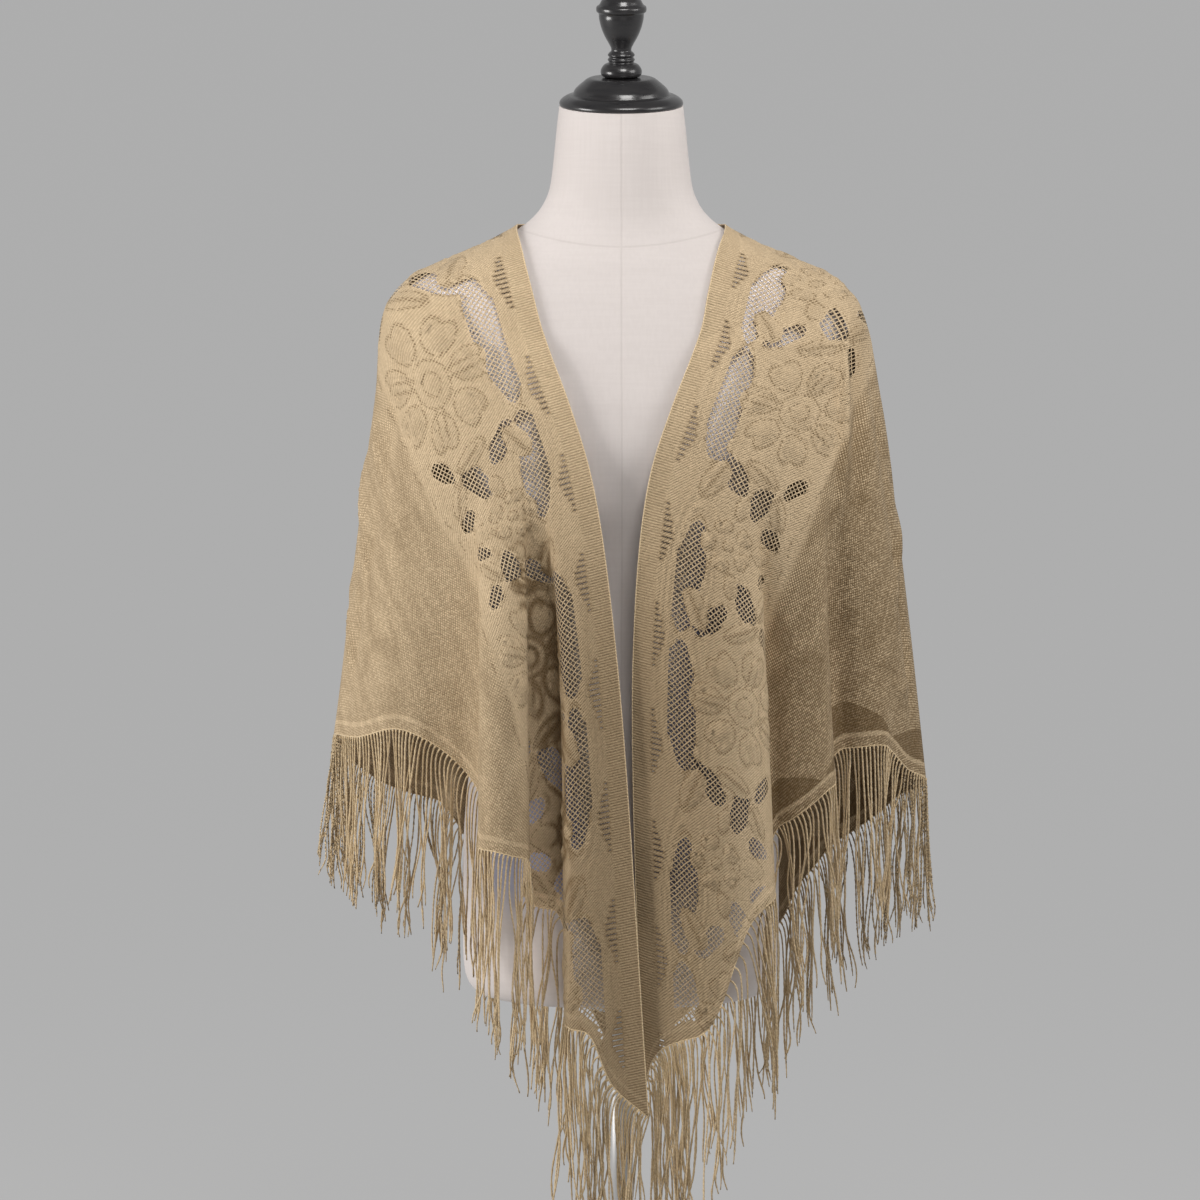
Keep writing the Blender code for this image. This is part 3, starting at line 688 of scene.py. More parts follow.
def point_values(item: Item, name: str, values: Array) -> None:
    """Store one number for each point of a mesh under a name."""
    layer = item.data.attributes.new(name, "FLOAT", "POINT")
    layer.data.foreach_set("value", np.asarray(values, np.float32))


def point_chart(item: Item, chart: Array) -> None:
    """Store a flat place, given in millimetres, for each point as the mesh's UV map.

    Args:
        item: The mesh object.
        chart: Flat place of every point.
    """
    layer = item.data.uv_layers.new(name="chart")
    corners = np.empty(len(item.data.loops), np.int32)
    item.data.loops.foreach_get("vertex_index", corners)
    layer.data.foreach_set("uv", (np.asarray(chart)[corners] * MM).astype(np.float32).ravel())


def tube_faces(rings: int, sides: int, first: int = 0) -> list[tuple]:
    """List the faces of a closed tube.

    Args:
        rings: How many rings of points it has.
        sides: Points on each ring.
        first: Number of its first point.

    Returns:
        The faces round the tube, then its two end caps.
    """
    faces = []
    for r in range(rings - 1):
        low = first + r * sides
        for s in range(sides):
            n = (s + 1) % sides
            faces.append((low + s, low + n, low + sides + n, low + sides + s))
    faces.append(tuple(first + s for s in range(sides - 1, -1, -1)))
    faces.append(tuple(first + (rings - 1) * sides + s for s in range(sides)))
    return faces


def path_frames(paths: Array) -> tuple[Array, Array]:
    """Return two cross directions at every point of many paths.

    Args:
        paths: Points of the paths, path by path.

    Returns:
        The first and the second direction at every point.
    """
    along = unit(np.gradient(paths, axis=1))
    guide = np.zeros_like(along)
    guide[..., 1] = 1.0
    guide[np.abs(along[..., 1]) > 0.9] = (1.0, 0.0, 0.0)
    first = unit(np.cross(along, guide))
    return first, np.cross(along, first)


def turned_points(profile: Sequence, sides: int) -> Array:
    """Return the points of a turned form, ring by ring, from its radius and height pairs."""
    turn = np.linspace(0.0, TURN, sides, endpoint=False)
    return np.asarray([(r * math.cos(a), r * math.sin(a), h) for r, h in profile for a in turn])


def rounded_profile(profile: Sequence, steps: int) -> list[tuple]:
    """Round a turned profile by a smooth curve through its points."""
    keys = chord_keys(profile, 0.6)
    return [tuple(p) for p in curve_through(profile, keys, np.linspace(0.0, keys[-1], steps))]


# ---------------------------------------------------------------- finishes


class Value:
    """What a node of a material gives out, with the arithmetic of further nodes."""

    def __init__(self, shading: "Shading", socket: Socket) -> None:
        """Hold a socket and the material that it belongs to."""
        self.shading, self.socket = shading, socket

    def __add__(self, other: "Value | float") -> "Value":
        """Return the sum."""
        return self.shading.maths("ADD", self, other)

    def __sub__(self, other: "Value | float") -> "Value":
        """Return the difference."""
        return self.shading.maths("SUBTRACT", self, other)

    def __mul__(self, other: "Value | float") -> "Value":
        """Return the product."""
        return self.shading.maths("MULTIPLY", self, other)

    def __abs__(self) -> "Value":
        """Return the size without its sign."""
        return self.shading.maths("ABSOLUTE", self)

    def line(self, gain: "Value | float", base: "Value | float") -> "Value":
        """Return the value times a gain, plus a base."""
        return self.shading.maths("MULTIPLY_ADD", self, gain, base)

    def sine(self) -> "Value":
        """Return the sine."""
        return self.shading.maths("SINE", self)

    def wave(self, period: float) -> "Value":
        """Return a wave of the value, in metres, with a period in millimetres."""
        return (self * (1000.0 * TURN / period)).sine()

    def ripple(self, period: float) -> "Value":
        """Return the same wave between 0 and 1."""
        return self.wave(period).line(0.5, 0.5)

    def step(self, low: float, high: float) -> "Value":
        """Return a smooth step from 0 at low to 1 at high.

        Args:
            low: Where the step begins.
            high: Where the step ends.

        Returns:
            The stepped value.
        """
        node = self.shading.add("MapRange", interpolation_type="SMOOTHSTEP")
        for name, value in (("Value", self), ("From Min", low), ("From Max", high)):
            self.shading.feed(node.inputs[name], value)
        return Value(self.shading, node.outputs["Result"])

    def rest(self) -> "Value":
        """Return what is missing to one."""
        return self.shading.maths("SUBTRACT", 1.0, self)

    def window(self, rise: Span, fall: Span) -> "Value":
        """Return 1 between two smooth steps, the first one up and the second one down."""
        return self.step(*rise) * self.step(*fall).rest()


class Shading:
    """Node tree of one material, with short calls to add and join nodes."""

    def __init__(self, name: str) -> None:
        """Start a material with one Principled shader.

        Args:
            name: The material's name.
        """
        self.material = bpy.data.materials.new(name)
        self.material.use_nodes = True
        self.tree = self.material.node_tree
        self.shader = self.tree.nodes["Principled BSDF"]

    def add(self, kind: str, **settings: object) -> bpy.types.Node:
        """Add a node and set its plain properties.

        Args:
            kind: The node's type without its common prefix.
            settings: Its plain properties.

        Returns:
            The new node.
        """
        node = self.tree.nodes.new("ShaderNode" + kind)
        for key, value in settings.items():
            setattr(node, key, value)
        return node

    def feed(self, target: Socket, value: object) -> None:
        """Link a value to a socket, or set the socket's number or colour.

        Args:
            target: The input socket.
            value: A value, a number or a colour.
        """
        if isinstance(value, Value):
            self.tree.links.new(value.socket, target)
        elif isinstance(value, tuple) and len(value) == 3 and target.type == "RGBA":
            target.default_value = (*value, 1.0)
        else:
            target.default_value = value

    def maths(self, operation: str, *values: Value | float, clamp: bool = False) -> Value:
        """Return the result of a Math node.

        Args:
            operation: The node's operation.
            values: Its inputs in order.
            clamp: Whether the result is kept between 0 and 1.

        Returns:
            The result.
        """
        node = self.add("Math", operation=operation, use_clamp=clamp)
        for socket, value in zip(node.inputs, values):
            self.feed(socket, value)
        return Value(self, node.outputs[0])

    def mix(self, share: Value | float, low: Value | Colour, high: Value | Colour) -> Value:
        """Return a mix of two colours.

        Args:
            share: Share of the second colour.
            low: The first colour.
            high: The second colour.

        Returns:
            The mixed colour.
        """
        node = self.add("Mix", data_type="RGBA", blend_type="MIX")
        for number, value in ((0, share), (6, low), (7, high)):
            self.feed(node.inputs[number], value)
        return Value(self, node.outputs[2])

    def place(self, kind: str = "Object") -> Value:
        """Return a texture coordinate."""
        return Value(self, self.add("TexCoord").outputs[kind])

    def mapped(self, place: Value, scale: Colour, turn: float = 0.0) -> Value:
        """Return a place scaled along its axes and turned about the third one.

        Args:
            place: The place.
            scale: Scale along each axis.
            turn: Turn in radians.

        Returns:
            The new place.
        """
        node = self.add("Mapping")
        node.inputs["Rotation"].default_value = (0.0, 0.0, turn)
        node.inputs["Scale"].default_value = scale
        self.feed(node.inputs["Vector"], place)
        return Value(self, node.outputs[0])

    def noise(self, scale: float, detail: float = 3.0, place: Value | None = None) -> Value:
        """Return a noise value.

        Args:
            scale: How fine the noise is.
            detail: How many finer layers it has.
            place: Where it is read, or the texture's own place.

        Returns:
            The noise, about 0.5 on average.
        """
        node = self.add("TexNoise")
        node.inputs["Scale"].default_value = scale
        node.inputs["Detail"].default_value = detail
        self.feed(node.inputs["Vector"], place or self.place())
        return Value(self, node.outputs["Fac"])

    def parts(self, place: Value) -> list[Value]:
        """Return the three numbers of a place.

        Args:
            place: The place.

        Returns:
            Its three numbers.
        """
        node = self.add("SeparateXYZ")
        self.feed(node.inputs[0], place)
        return [Value(self, socket) for socket in node.outputs]

    def stored(self, name: str) -> Value:
        """Return a number stored on the mesh."""
        return Value(self, self.add("Attribute", attribute_name=name).outputs["Fac"])

    def bump(self, height: Value, distance: float, strength: float) -> None:
        """Drive the shader's normal by a height in millimetres.

        Args:
            height: The height.
            distance: How far a height of 1 rises.
            strength: Share of the effect.
        """
        node = self.add("Bump")
        node.inputs["Strength"].default_value = strength
        node.inputs["Distance"].default_value = distance * MM
        self.feed(node.inputs["Height"], height)
        self.feed(self.shader.inputs["Normal"], Value(self, node.outputs["Normal"]))

    def surface(self, colour: object, rough: object, more: dict[str, object]) -> Material:
        """Set the shader's inputs.

        Args:
            colour: Base colour.
            rough: Roughness.
            more: Other inputs by name.

        Returns:
            The finished material.
        """
        for name, value in {"Base Color": colour, "Roughness": rough, **more}.items():
            self.feed(self.shader.inputs[name], value)
        return self.material


@dataclass(frozen=True)
class LaceFinish:
    """Beige lace: ribbed edge band, smooth twilled motifs and a dotted ground, with painted shade
    in its slots and holes, in the left trough, behind a fold of the right wing, low on the band and
    in the arches above the hem.

    Places on the flat cloth are in metres, periods and heights over the hem in
    millimetres. In a right_ pair the first number is what the right wing has more,
    and the second one is what the left wing has.
    """

    motif: Colour = (0.67, 0.515, 0.33)
    ground: Colour = (0.92, 0.712, 0.46)
    # darkest colour: painted shade, and the darker tone of the texture and the sprays
    pit: Colour = (0.13, 0.075, 0.026)
    sheen: Colour = (1.0, 0.9, 0.72)
    rib: float = 2.3
    twill: float = 2.6
    dot_u: float = 3.3
    dot_v: float = 2.9
    eyelet: float = 3.4
    band_end: Span = (0.0155, 0.018)
    ground_start: Span = (0.144, 0.152)
    speck_start: Span = (0.146, 0.18)
    right_wing: Span = (0.14, 0.34)
    band_depth: float = 0.42
    motif_depth: float = 0.26
    right_ground_depth: Span = (0.28, 0.46)
    right_speck: Span = (0.22, 0.14)
    # painted shade in the arches above the hem
    right_arch_shade: Span = (0.56, 0.06)
    arch: float = 118.0
    arch_height: float = 30.0
    arch_foot: float = 13.0
    stripe: tuple[Span, Span] = ((8.4, 9.2), (12.2, 13.4))
    drift_scale: Colour = (24.0, 80.0, 1.0)
    drift_turn: float = math.radians(38.0)
    fold_corner: Span = (0.245, 0.105)
    fold_slope: float = 0.53
    fold_shade: tuple[Span, Span] = ((0.001, 0.005), (0.010, 0.045))
    fold_reach: tuple[Span, Span] = ((0.21, 0.25), (0.38, 0.43))

    def material(self) -> Material:
        """Build the material.

        Returns:
            The new material.
        """
        s = Shading("beige_lace")
        u, v, _ = s.parts(s.place("UV"))
        hem, run = s.stored("hem"), s.stored("run")
        a = u * (1.0 / self.dot_u) + v * (1.0 / self.dot_v)
        b = u * (1.0 / self.dot_u) - v * (1.0 / self.dot_v)
        dots = a.ripple(1.0) * b.ripple(1.0)
        in_ground = v.step(*self.ground_start)
        in_band = v.step(*self.band_end).rest()
        in_motif = s.maths("SUBTRACT", in_band.rest(), in_ground, clamp=True)
        right = u.step(*self.right_wing)

        fine = u.ripple(self.rib) * in_band + v.line(0.9, u).ripple(self.twill) * in_motif
        fine = fine + dots.step(0.02, 0.45) * in_ground
        depth = in_band * self.band_depth + in_motif * self.motif_depth
        depth = depth + in_ground * right.line(*self.right_ground_depth)
        patch = s.noise(430.0, 1.5).step(0.40, 0.60)
        speck = v.step(*self.speck_start) * right.line(*self.right_speck)
        spray = (a * 90.0).sine().step(0.6, 0.8)
        holes = (u + v).ripple(self.eyelet) * (u - v).ripple(self.eyelet)
        outline = s.stored("rim").step(0.38, 0.72) * holes.step(0.10, 0.40).line(0.58, 0.07)
        # arches of open net above the hem, with painted shade seen through them, strong on the
        # right wing and faint on the left
        arc = abs((run * (math.pi / self.arch)).sine()).line(self.arch_height, self.arch_foot)
        hem_arches = (arc - hem).step(0.0, 1.6) * hem.step(12.6, 14.0) * in_ground
        slant = s.mapped(s.place("UV"), self.drift_scale, self.drift_turn)
        drift = s.noise(1.0, 2.0, slant).step(0.36, 0.66)
        # painted shade: the band and the cloth beside it darker far along each wing, where it hangs
        # low at the front
        low_band_shade = v.step(0.045, 0.120).rest() * abs(u).step(0.28, 0.62)
        behind = v - self.fold_corner[1] - (u - self.fold_corner[0]) * self.fold_slope
        shade = behind.window(*self.fold_shade) * u.window(*self.fold_reach)

        base = s.mix(s.stored("tone"), self.ground, self.motif)
        # the stored mark is painted shade at slots, hole rims and the left trough, plus dark sprays
        # of leaves
        for share in (patch * (speck + 0.10), fine.rest() * depth, spray * (in_ground * 0.08),
                      s.stored("pit"), outline, hem_arches * right.line(*self.right_arch_shade)):
            base = s.mix(share, base, self.pit)
        base = s.mix(hem.window(*self.stripe) * 0.35, base, self.ground)
        for share in (drift * in_ground.line(0.12, 0.07), low_band_shade * 0.48, shade * 0.20):
            base = s.mix(share, base, self.pit)
        s.bump(fine + patch * 0.9, 0.42, 0.9)
        return s.surface(base, 0.72, {"Sheen Weight": 0.1, "Sheen Roughness": 0.45,
                                      "Sheen Tint": self.sheen, "Specular IOR Level": 0.12})


@dataclass(frozen=True)
class CordFinish:
    """Twisted fringe cord in the lace's beige."""

    light: Colour = (0.80, 0.625, 0.39)
    dark: Colour = (0.42, 0.295, 0.15)
    lay: float = 3.2

    def material(self) -> Material:
        """Build the material.

        Returns:
            The new material.
        """
        s = Shading("fringe_cord")
        u, v, _ = s.parts(s.place("UV"))
        ply = (v * (1000.0 * TURN / self.lay) + u * TURN).sine()
        base = s.mix(s.stored("tone"), self.dark, self.light)
        base = s.mix(ply.step(-0.2, 0.8) * 0.45, base, self.dark)
        s.bump(ply * -0.5 + s.noise(1500.0, 0.0), 0.25, 0.7)
        return s.surface(base, 0.75, {"Sheen Weight": 0.3, "Specular IOR Level": 0.25})


@dataclass(frozen=True)
class LinenFinish:
    """Off-white plain-woven linen with a fine front seam and a neck seam.

    Under the shawl it has painted light and shade that show through the net, all bluish: brighter
    high on the chest, darker lower down, and darkest low in the middle and on the right.
    """

    cloth: Colour = (0.70, 0.645, 0.62)
    shade: Colour = (0.62, 0.565, 0.54)
    seam: Colour = (0.42, 0.37, 0.35)
    # painted light high under the lace, painted shade lower down, deepest painted shade low in the
    # middle and on the right
    painted_shading_under_lace: Colour = (0.95, 0.92, 0.97)
    painted_shade_low_under_lace: Colour = (0.40, 0.42, 0.56)
    painted_deep_shade_under_lace: Colour = (0.25, 0.25, 0.35)
    pitch: float = 0.75
    slub: float = 420.0
    slub_stretch: float = 0.06
    neck_seam: Span = (2.0, 1.0085)
    opening: Span = (0.125, -0.045)

    def material(self) -> Material:
        """Build the material.

        Returns:
            The new material.
        """
        s = Shading("linen")
        spot = s.place()
        x, y, z = s.parts(spot)
        off, long = abs(x), self.slub_stretch
        slubs = [s.noise(self.slub, 2.0, s.mapped(spot, scale))
                 for scale in ((1.0, 1.0, long), (long, long, 1.0))]
        threads = slubs[0] + slubs[1]
        seam = off.step(0.0004, 0.0011).rest() * y.step(0.0, -0.01)
        curve = z - (x * x).line(*self.neck_seam)
        seams = s.maths("MAXIMUM", seam, abs(curve).step(0.0004, 0.0012).rest())
        # painted light and shade on the linen under the lace: brighter high up, darker lower down,
        # darkest low in the middle and on the right
        painted_shading_under_lace = s.mix(z.step(0.62, 0.88), self.painted_shade_low_under_lace, self.painted_shading_under_lace)
        deep_shade = x.step(-0.060, -0.050) * z.step(0.66, 0.88).rest()
        painted_shading_under_lace = s.mix(deep_shade, painted_shading_under_lace, self.painted_deep_shade_under_lace)
        # where the lace covers the linen, which gets the painted light and shade
        painted_shading_mask = (off - z.line(*self.opening)).step(0.0, 0.02)
        beside = off.step(0.115, 0.132) * z.step(0.60, 0.66).rest()
        bare = (x * -1.0).step(0.105, 0.125) * z.step(0.52, 0.62).rest()
        for share in ((y * -1.0).step(-0.03, 0.01), beside.rest(), z.step(0.42, 0.47),
                      bare.rest(), z.step(0.99, 1.03).rest()):
            painted_shading_mask = painted_shading_mask * share

        base = s.mix(threads.step(0.75, 1.25), self.shade, self.cloth)
        base = s.mix(0.72, base, self.cloth)
        base = s.mix(s.noise(9.0, 1.0) * 0.25, base, self.shade)
        base = s.mix(seams * 0.18, base, self.seam)
        base = s.mix(painted_shading_mask, base, painted_shading_under_lace)
        s.bump(x.wave(self.pitch) * z.wave(self.pitch) * 0.5 - seams * 3.0, 0.12, 0.4)
        return s.surface(base, 0.85, {"Sheen Weight": 0.15, "Specular IOR Level": 0.2})


@dataclass(frozen=True)
class SatinBlackFinish:
    """Satin black lacquer on turned wood."""

    colour: Colour = (0.012, 0.012, 0.014)
    worn: Colour = (0.03, 0.028, 0.028)

    def material(self) -> Material:
        """Build the material.

        Returns:
            The new material.
        """
        s = Shading("satin_black_wood")
        grain = s.noise(60.0, 6.0, s.mapped(s.place(), (1.0, 1.0, 6.0)))
        s.bump(grain, 0.08, 0.3)
        return s.surface(s.mix(grain, self.colour, self.worn), grain.line(0.16, 0.22),
                         {"Coat Weight": 0.4, "Coat Roughness": 0.12})


@dataclass(frozen=True)
class PaleMetalFinish:
    """Pale grey painted metal of the stand."""

    colour: Colour = (0.46, 0.46, 0.455)
    worn: Colour = (0.34, 0.335, 0.33)

    def material(self) -> Material:
        """Build the material.

        Returns:
            The new material.
        """
        s = Shading("pale_grey_metal")
        rubbed = s.noise(14.0, 5.0).step(0.58, 0.75)
        s.bump(s.noise(700.0, 2.0), 0.05, 0.35)
        return s.surface(s.mix(rubbed * 0.25, self.colour, self.worn), rubbed.line(0.15, 0.34),
                         {"Metallic": 0.15})


@dataclass(frozen=True)
class PaperFinish:
    """Matt pale grey studio paper that glows softly, less on the side of the viewer."""

    colour: Colour = (0.12, 0.12, 0.12)
    glow: float = 0.385
    front_glow: float = 0.038
    front: Span = (-3.5, 0.3)

    def material(self) -> Material:
        """Build the material, whose glow is left out of the sampling of lights."""
        s = Shading("studio_paper")
        _, y, _ = s.parts(s.place())
        glow = s.mix(y.step(*self.front), (self.front_glow,) * 3, (self.glow,) * 3)
        s.material.cycles.emission_sampling = "NONE"
        return s.surface(self.colour, 0.95, {"Specular IOR Level": 0.05, "Emission Color": glow,
                                             "Emission Strength": 1.0})


# ---------------------------------------------------------------- dress form


@dataclass
class DressForm:
    """Padded linen body with its turned black cap, on a plain stand."""

    body: BodyShape
    around: int = 176
    step: float = 5.0
    turned_sides: int = 96
    cap_tilt: float = math.radians(10.0)
    seat: tuple[float, float] = (-8.0, 1132.3)
    hem_steps: tuple = (0.0, 0.6, 2.0, 4.4, 8.0, 13.0, 20.0)
    tilt_keys: tuple = ((1060, 0), (1085, 0.15), (1110, 0.6), (1132, 1))
    cap: tuple = (
        # radius, height
        (53.4, 0), (54, 1.4), (53.6, 3.6), (51.4, 6), (47.2, 8.4), (42.4, 9.8), (41.6, 11.4),
        (40.2, 14), (37, 17.2), (33.6, 20), (30.6, 22.4), (27.6, 23.8), (20, 24.2),
    )
    knob: tuple = (
        (14, 24.5), (16.8, 25.8), (18, 28.8), (17.4, 32), (14.6, 35.6), (10.8, 37.6), (11.9, 39.8),
        (10.6, 41.8), (11.8, 43.8), (10.4, 46), (8.9, 47.4), (8.9, 49.4), (10.6, 53.2),
        (14.2, 59.6), (17.4, 67.2), (19.4, 75.4), (19.9, 80), (21.6, 81.6), (21.6, 85.6),
        (19.2, 87.6), (16.6, 92), (10, 96), (3, 97),
    )
    collar: tuple = ((17, -14.3), (24, -13.3), (31, -10.3), (36, -5.8), (38, -0.3))
    pole: tuple = ((11, 22.3), (11, 180), (11, 335.4))
    base: tuple = (
        (146, 0), (149.2, 0.6), (150, 2), (150, 6), (149, 8.2), (146, 9.5), (120, 11.5),
        (80, 12.9), (40, 14), (27, 14.7), (22, 16), (18.4, 18.6), (17, 22),
    )

    def build_body(self) -> Item:
        """Make the fine linen body.

        Returns:
            The new object.
        """
        low, high = self.body.bottom, self.body.top
        heights = np.concatenate([low + np.array(self.hem_steps),
                                  np.arange(low + 25.0, high - 2.0, self.step), [high - 0.6, high]])
        half, front, back, centre, power = self.body.columns(heights)
        turn = np.linspace(0.0, TURN, self.around, endpoint=False)
        s, c = np.sin(turn)[None], np.cos(turn)[None]
        p = (2.0 / power)[:, None]
        x = np.sign(s) * np.abs(s) ** p * half[:, None]
        y = -np.sign(c) * np.abs(c) ** p * np.where(c > 0.0, front[:, None], back[:, None])
        tilt = np.interp(heights, *zip(*self.tilt_keys))[:, None] * math.tan(self.cap_tilt)
        points = np.stack([x, y + centre[:, None], heights[:, None] + tilt * y], axis=2)
        faces = tube_faces(len(heights), self.around)
        item = build_mesh("linen_body", points.reshape(-1, 3), faces, LinenFinish().material())
        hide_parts("dress_form")
        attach(item, "root")
        return item

    def build_turned(self) -> None:
        """Make the cap, knob, collar, pole and base."""
        seat = Matrix.Translation((0.0, self.seat[0] * MM, self.seat[1] * MM))
        seat = seat @ Matrix.Rotation(self.cap_tilt, 4, "X")
        under = Matrix.Translation((0.0, 0.0, self.body.bottom * MM))
        flat = Matrix.Identity(4)
        black, pale = SatinBlackFinish().material(), PaleMetalFinish().material()
        rows = (
            # name, profile, place, finish, node, slot
            ("turned_cap", rounded_profile(self.cap, 70), seat, black, "neck_cap", "cap"),
            ("turned_knob", rounded_profile(self.knob, 130), seat, black, "cap_knob", "cap"),
            ("stand_top", rounded_profile(self.collar, 14), under, pale, "form_collar", "stand"),
            ("stand_tube", self.pole, flat, pale, "stand_pole", "stand"),
            ("stand_foot", self.base, flat, pale, "stand_base", "stand"),
        )
        for name, profile, place, finish, node, slot in rows:
            points = turned_points(profile, self.turned_sides)
            item = build_mesh(name, points, tube_faces(len(profile), self.turned_sides), finish)
            item.data.transform(place)
            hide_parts(node)
            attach(item, "root")
            LOG.info("%s: %d faces", name, len(item.data.polygons))


    def build(self) -> Item:
        """Build the form and return its linen body.

        Returns:
            The linen body.
        """
        item = self.build_body()
        self.build_turned()
        return item


# ---------------------------------------------------------------- lace


class Cell(Enum):
    """Kinds of lace cell."""

    SOLID = 0
    NET = 1
    EYELET = 2


@dataclass(frozen=True)
class Shape:
    """One oval of the lace design, in a repeat's own millimetres."""

    x: float
    v: float
    length: float
    width: float
    angle: float
    kind: Cell = Cell.SOLID
    outlined: bool = False
    raised: float = 0.0

    def depth(self, x: Array, v: Array) -> Array:
        """Return 0 at the oval's middle and 1 on its outline.

        Args:
            x: Places along the border.
            v: Places across it.

        Returns:
            The depth at every place.
        """
        c, s = math.cos(math.radians(self.angle)), math.sin(math.radians(self.angle))
        a = ((x - self.x) * c + (v - self.v) * s) / self.length
        b = ((v - self.v) * c - (x - self.x) * s) / self.width
        return np.sqrt(a * a + b * b)


@dataclass(frozen=True)
class LaceDesign:
    """Border design of the shawl: windows of net, large flowers and slotted ladders."""

    repeat: float = 270.0
    left_phase: tuple = (
        # u, phase: whole numbers at the middle of a large flower
        (-150, -1.5), (30, -0.8333), (120, -0.5), (212, -0.1667), (318, 0.1667), (404, 0.5),
        (492, 0.8333), (590, 1.1667), (700, 1.5), (795, 1.8333), (890, 2.1667), (980, 2.5),
    )
    right_phase: tuple = (
        (-150, -1.8333), (40, -1.1667), (125, -0.8333), (208, -0.5), (278, -0.1667), (364, 0.1667),
        (450, 0.5), (538, 0.8333), (632, 1.1667), (725, 1.5), (815, 1.8333), (905, 2.1667),
        (990, 2.5),
    )
    left_lean: float = 26.0
    lean_end: Span = (380.0, 520.0)
    ladder_foot: float = 17.5
    ladder_half: float = 32.0
    ladder_peak: float = 0.56
    slot_height: float = 10.4
    large: float = 30.0
    border_start: float = 32.0
    border_end: float = 141.0
    far: float = 99.0
    line_pitch: float = 6.0
    lines_fade: Span = (9.0, 16.0)
    long_windows: tuple = (
        # x, v, half length, half width, angle
        (9, 44, 54, 13.5, 3), (-102, 44, 52, 12.5, -4), (168, 44, 52, 12.5, -4),
    )
    windows: tuple = (
        (70, 68, 22, 10, 42), (-66, 66, 20, 9, -40), (88, 98, 20, 10, -15), (-86, 96, 22, 10, 25),
        (66, 124, 15, 7, -35), (-60, 124, 16, 7, 35), (116, 118, 13, 8, 60),
        (-114, 118, 13, 8, -60),
    )
    leaves: tuple = (
        # x, v, half length, half width, angle, vein
        (78, 54, 19, 9.5, -24, 11), (-74, 52, 19, 9, 26, 11), (64, 92, 17, 8, 60, 9),
        (-62, 94, 17, 8, -62, 9), (94, 116, 16, 7.5, 25, 9), (-92, 118, 16, 7.5, -28, 9),
        (98, 82, 11, 6, -10, 0), (-100, 80, 11, 6, 12, 0),
    )
    slit_petals: tuple = (0, 3, 5)
    slit_offset: float = 3.4

    def petal(self, x: float, v: float, turn: float, core: float, reach: float,
              wide: float) -> list[Shape]:
        """Draw the two lobes and the heart of one petal.

        Args:
            x: The flower's middle along the border.
            v: The flower's middle across the border.
            turn: Which way the petal points.
            core: Radius of the dotted ring round the flower's heart.
            reach: How far the petals reach.
            wide: Half width of a petal.

        Returns:
            The petal's ovals.
        """
        s, c = math.sin(turn), math.cos(turn)
        angle = 90.0 - math.degrees(turn)
        length = (reach * 0.92 - core - 3.0) / 2.0
        middle = reach * 0.92 - length
        far, side = middle + 1.5, wide * 0.3
        lobes = [Shape(x + far * s + lean * side * c, v + far * c - lean * side * s, length,
                       wide * 0.52, angle - lean * 13.0, Cell.SOLID, True, 1.3)
                 for lean in (-1.0, 1.0)]
        heart = Shape(x + middle * s, v + middle * c, length * 0.86, wide * 0.5, angle, raised=1.6)
        return [*lobes, heart]

    def flower(self, x: float, v: float, petals: int, core: float, reach: float) -> list[Shape]:
        """Draw one round flower.

        Args:
            x: Middle along the border.
            v: Middle across the border.
            petals: How many petals.
            core: Radius of the dotted ring round its heart.
            reach: How far the petals reach.

        Returns:
            The flower's ovals, later ones over earlier ones.
        """
        wide = math.pi * reach * 0.66 / petals
        edge = wide * 1.05
        turns = [TURN * (k + 0.5) / petals for k in range(petals)]
        found = [Shape(x + (reach - edge) * math.sin(turn), v + (reach - edge) * math.cos(turn),
                       edge, edge, 0.0) for turn in turns]
        found.append(Shape(x, v, reach * 0.86, reach * 0.86, 0.0))
        for k, turn in enumerate(turns):
            found += self.petal(x, v, turn, core, reach, wide)
            if reach > self.large and k in self.slit_petals:
                s, c = math.sin(turn), math.cos(turn)
                for off in (-self.slit_offset, self.slit_offset):
                    place = core + 7.0 - abs(off) * 0.3
                    found.append(Shape(x + place * s + off * c, v + place * c - off * s, 6.5, 0.4,
                                       90.0 - math.degrees(turn), Cell.EYELET))
        for ring in (core, core * 0.5) if reach > self.large else (core * 0.7,):
            found.append(Shape(x, v, ring, ring, 0.0, Cell.SOLID, True, 0.9))
        return found

    def shapes(self) -> list[Shape]:
        """Draw one repeat.

        Returns:
            The ovals, later ones over earlier ones.
        """
        found = [Shape(*row, Cell.NET) for row in (*self.long_windows, *self.windows)]
        for *oval, angle, vein in self.leaves:
            found.append(Shape(*oval, angle, Cell.SOLID, True, 1.1))
            if vein:
                found.append(Shape(*oval[:2], vein, 1.0, angle, Cell.EYELET))
        for x in (-self.repeat / 2.0, self.repeat / 2.0):
            found.append(Shape(x, 110.0, 9.0, 13.0, 0.0, Cell.SOLID, True, 1.0))
            found += self.flower(x, 74.0, 5, 7.0, 24.0)
        return found + self.flower(0.0, 101.0, 7, 16.5, 50.0)

    def phase(self, side: Side, u: Array, v: Array) -> Array:
        """Find the repeat's running number at flat places.

        Args:
            side: Which half of the shawl the places are on.
            u: Distance from the centre back.
            v: Depth from the long edge.

        Returns:
            The running number, whole at the middle of a large flower.
        """
        keys = self.left_phase if side is Side.LEFT else self.right_phase
        if side is Side.LEFT:
            u = u - self.left_lean * (v / 90.0) * (1.0 - smoothstep(*self.lean_end, u))
        return np.interp(u, *zip(*keys))

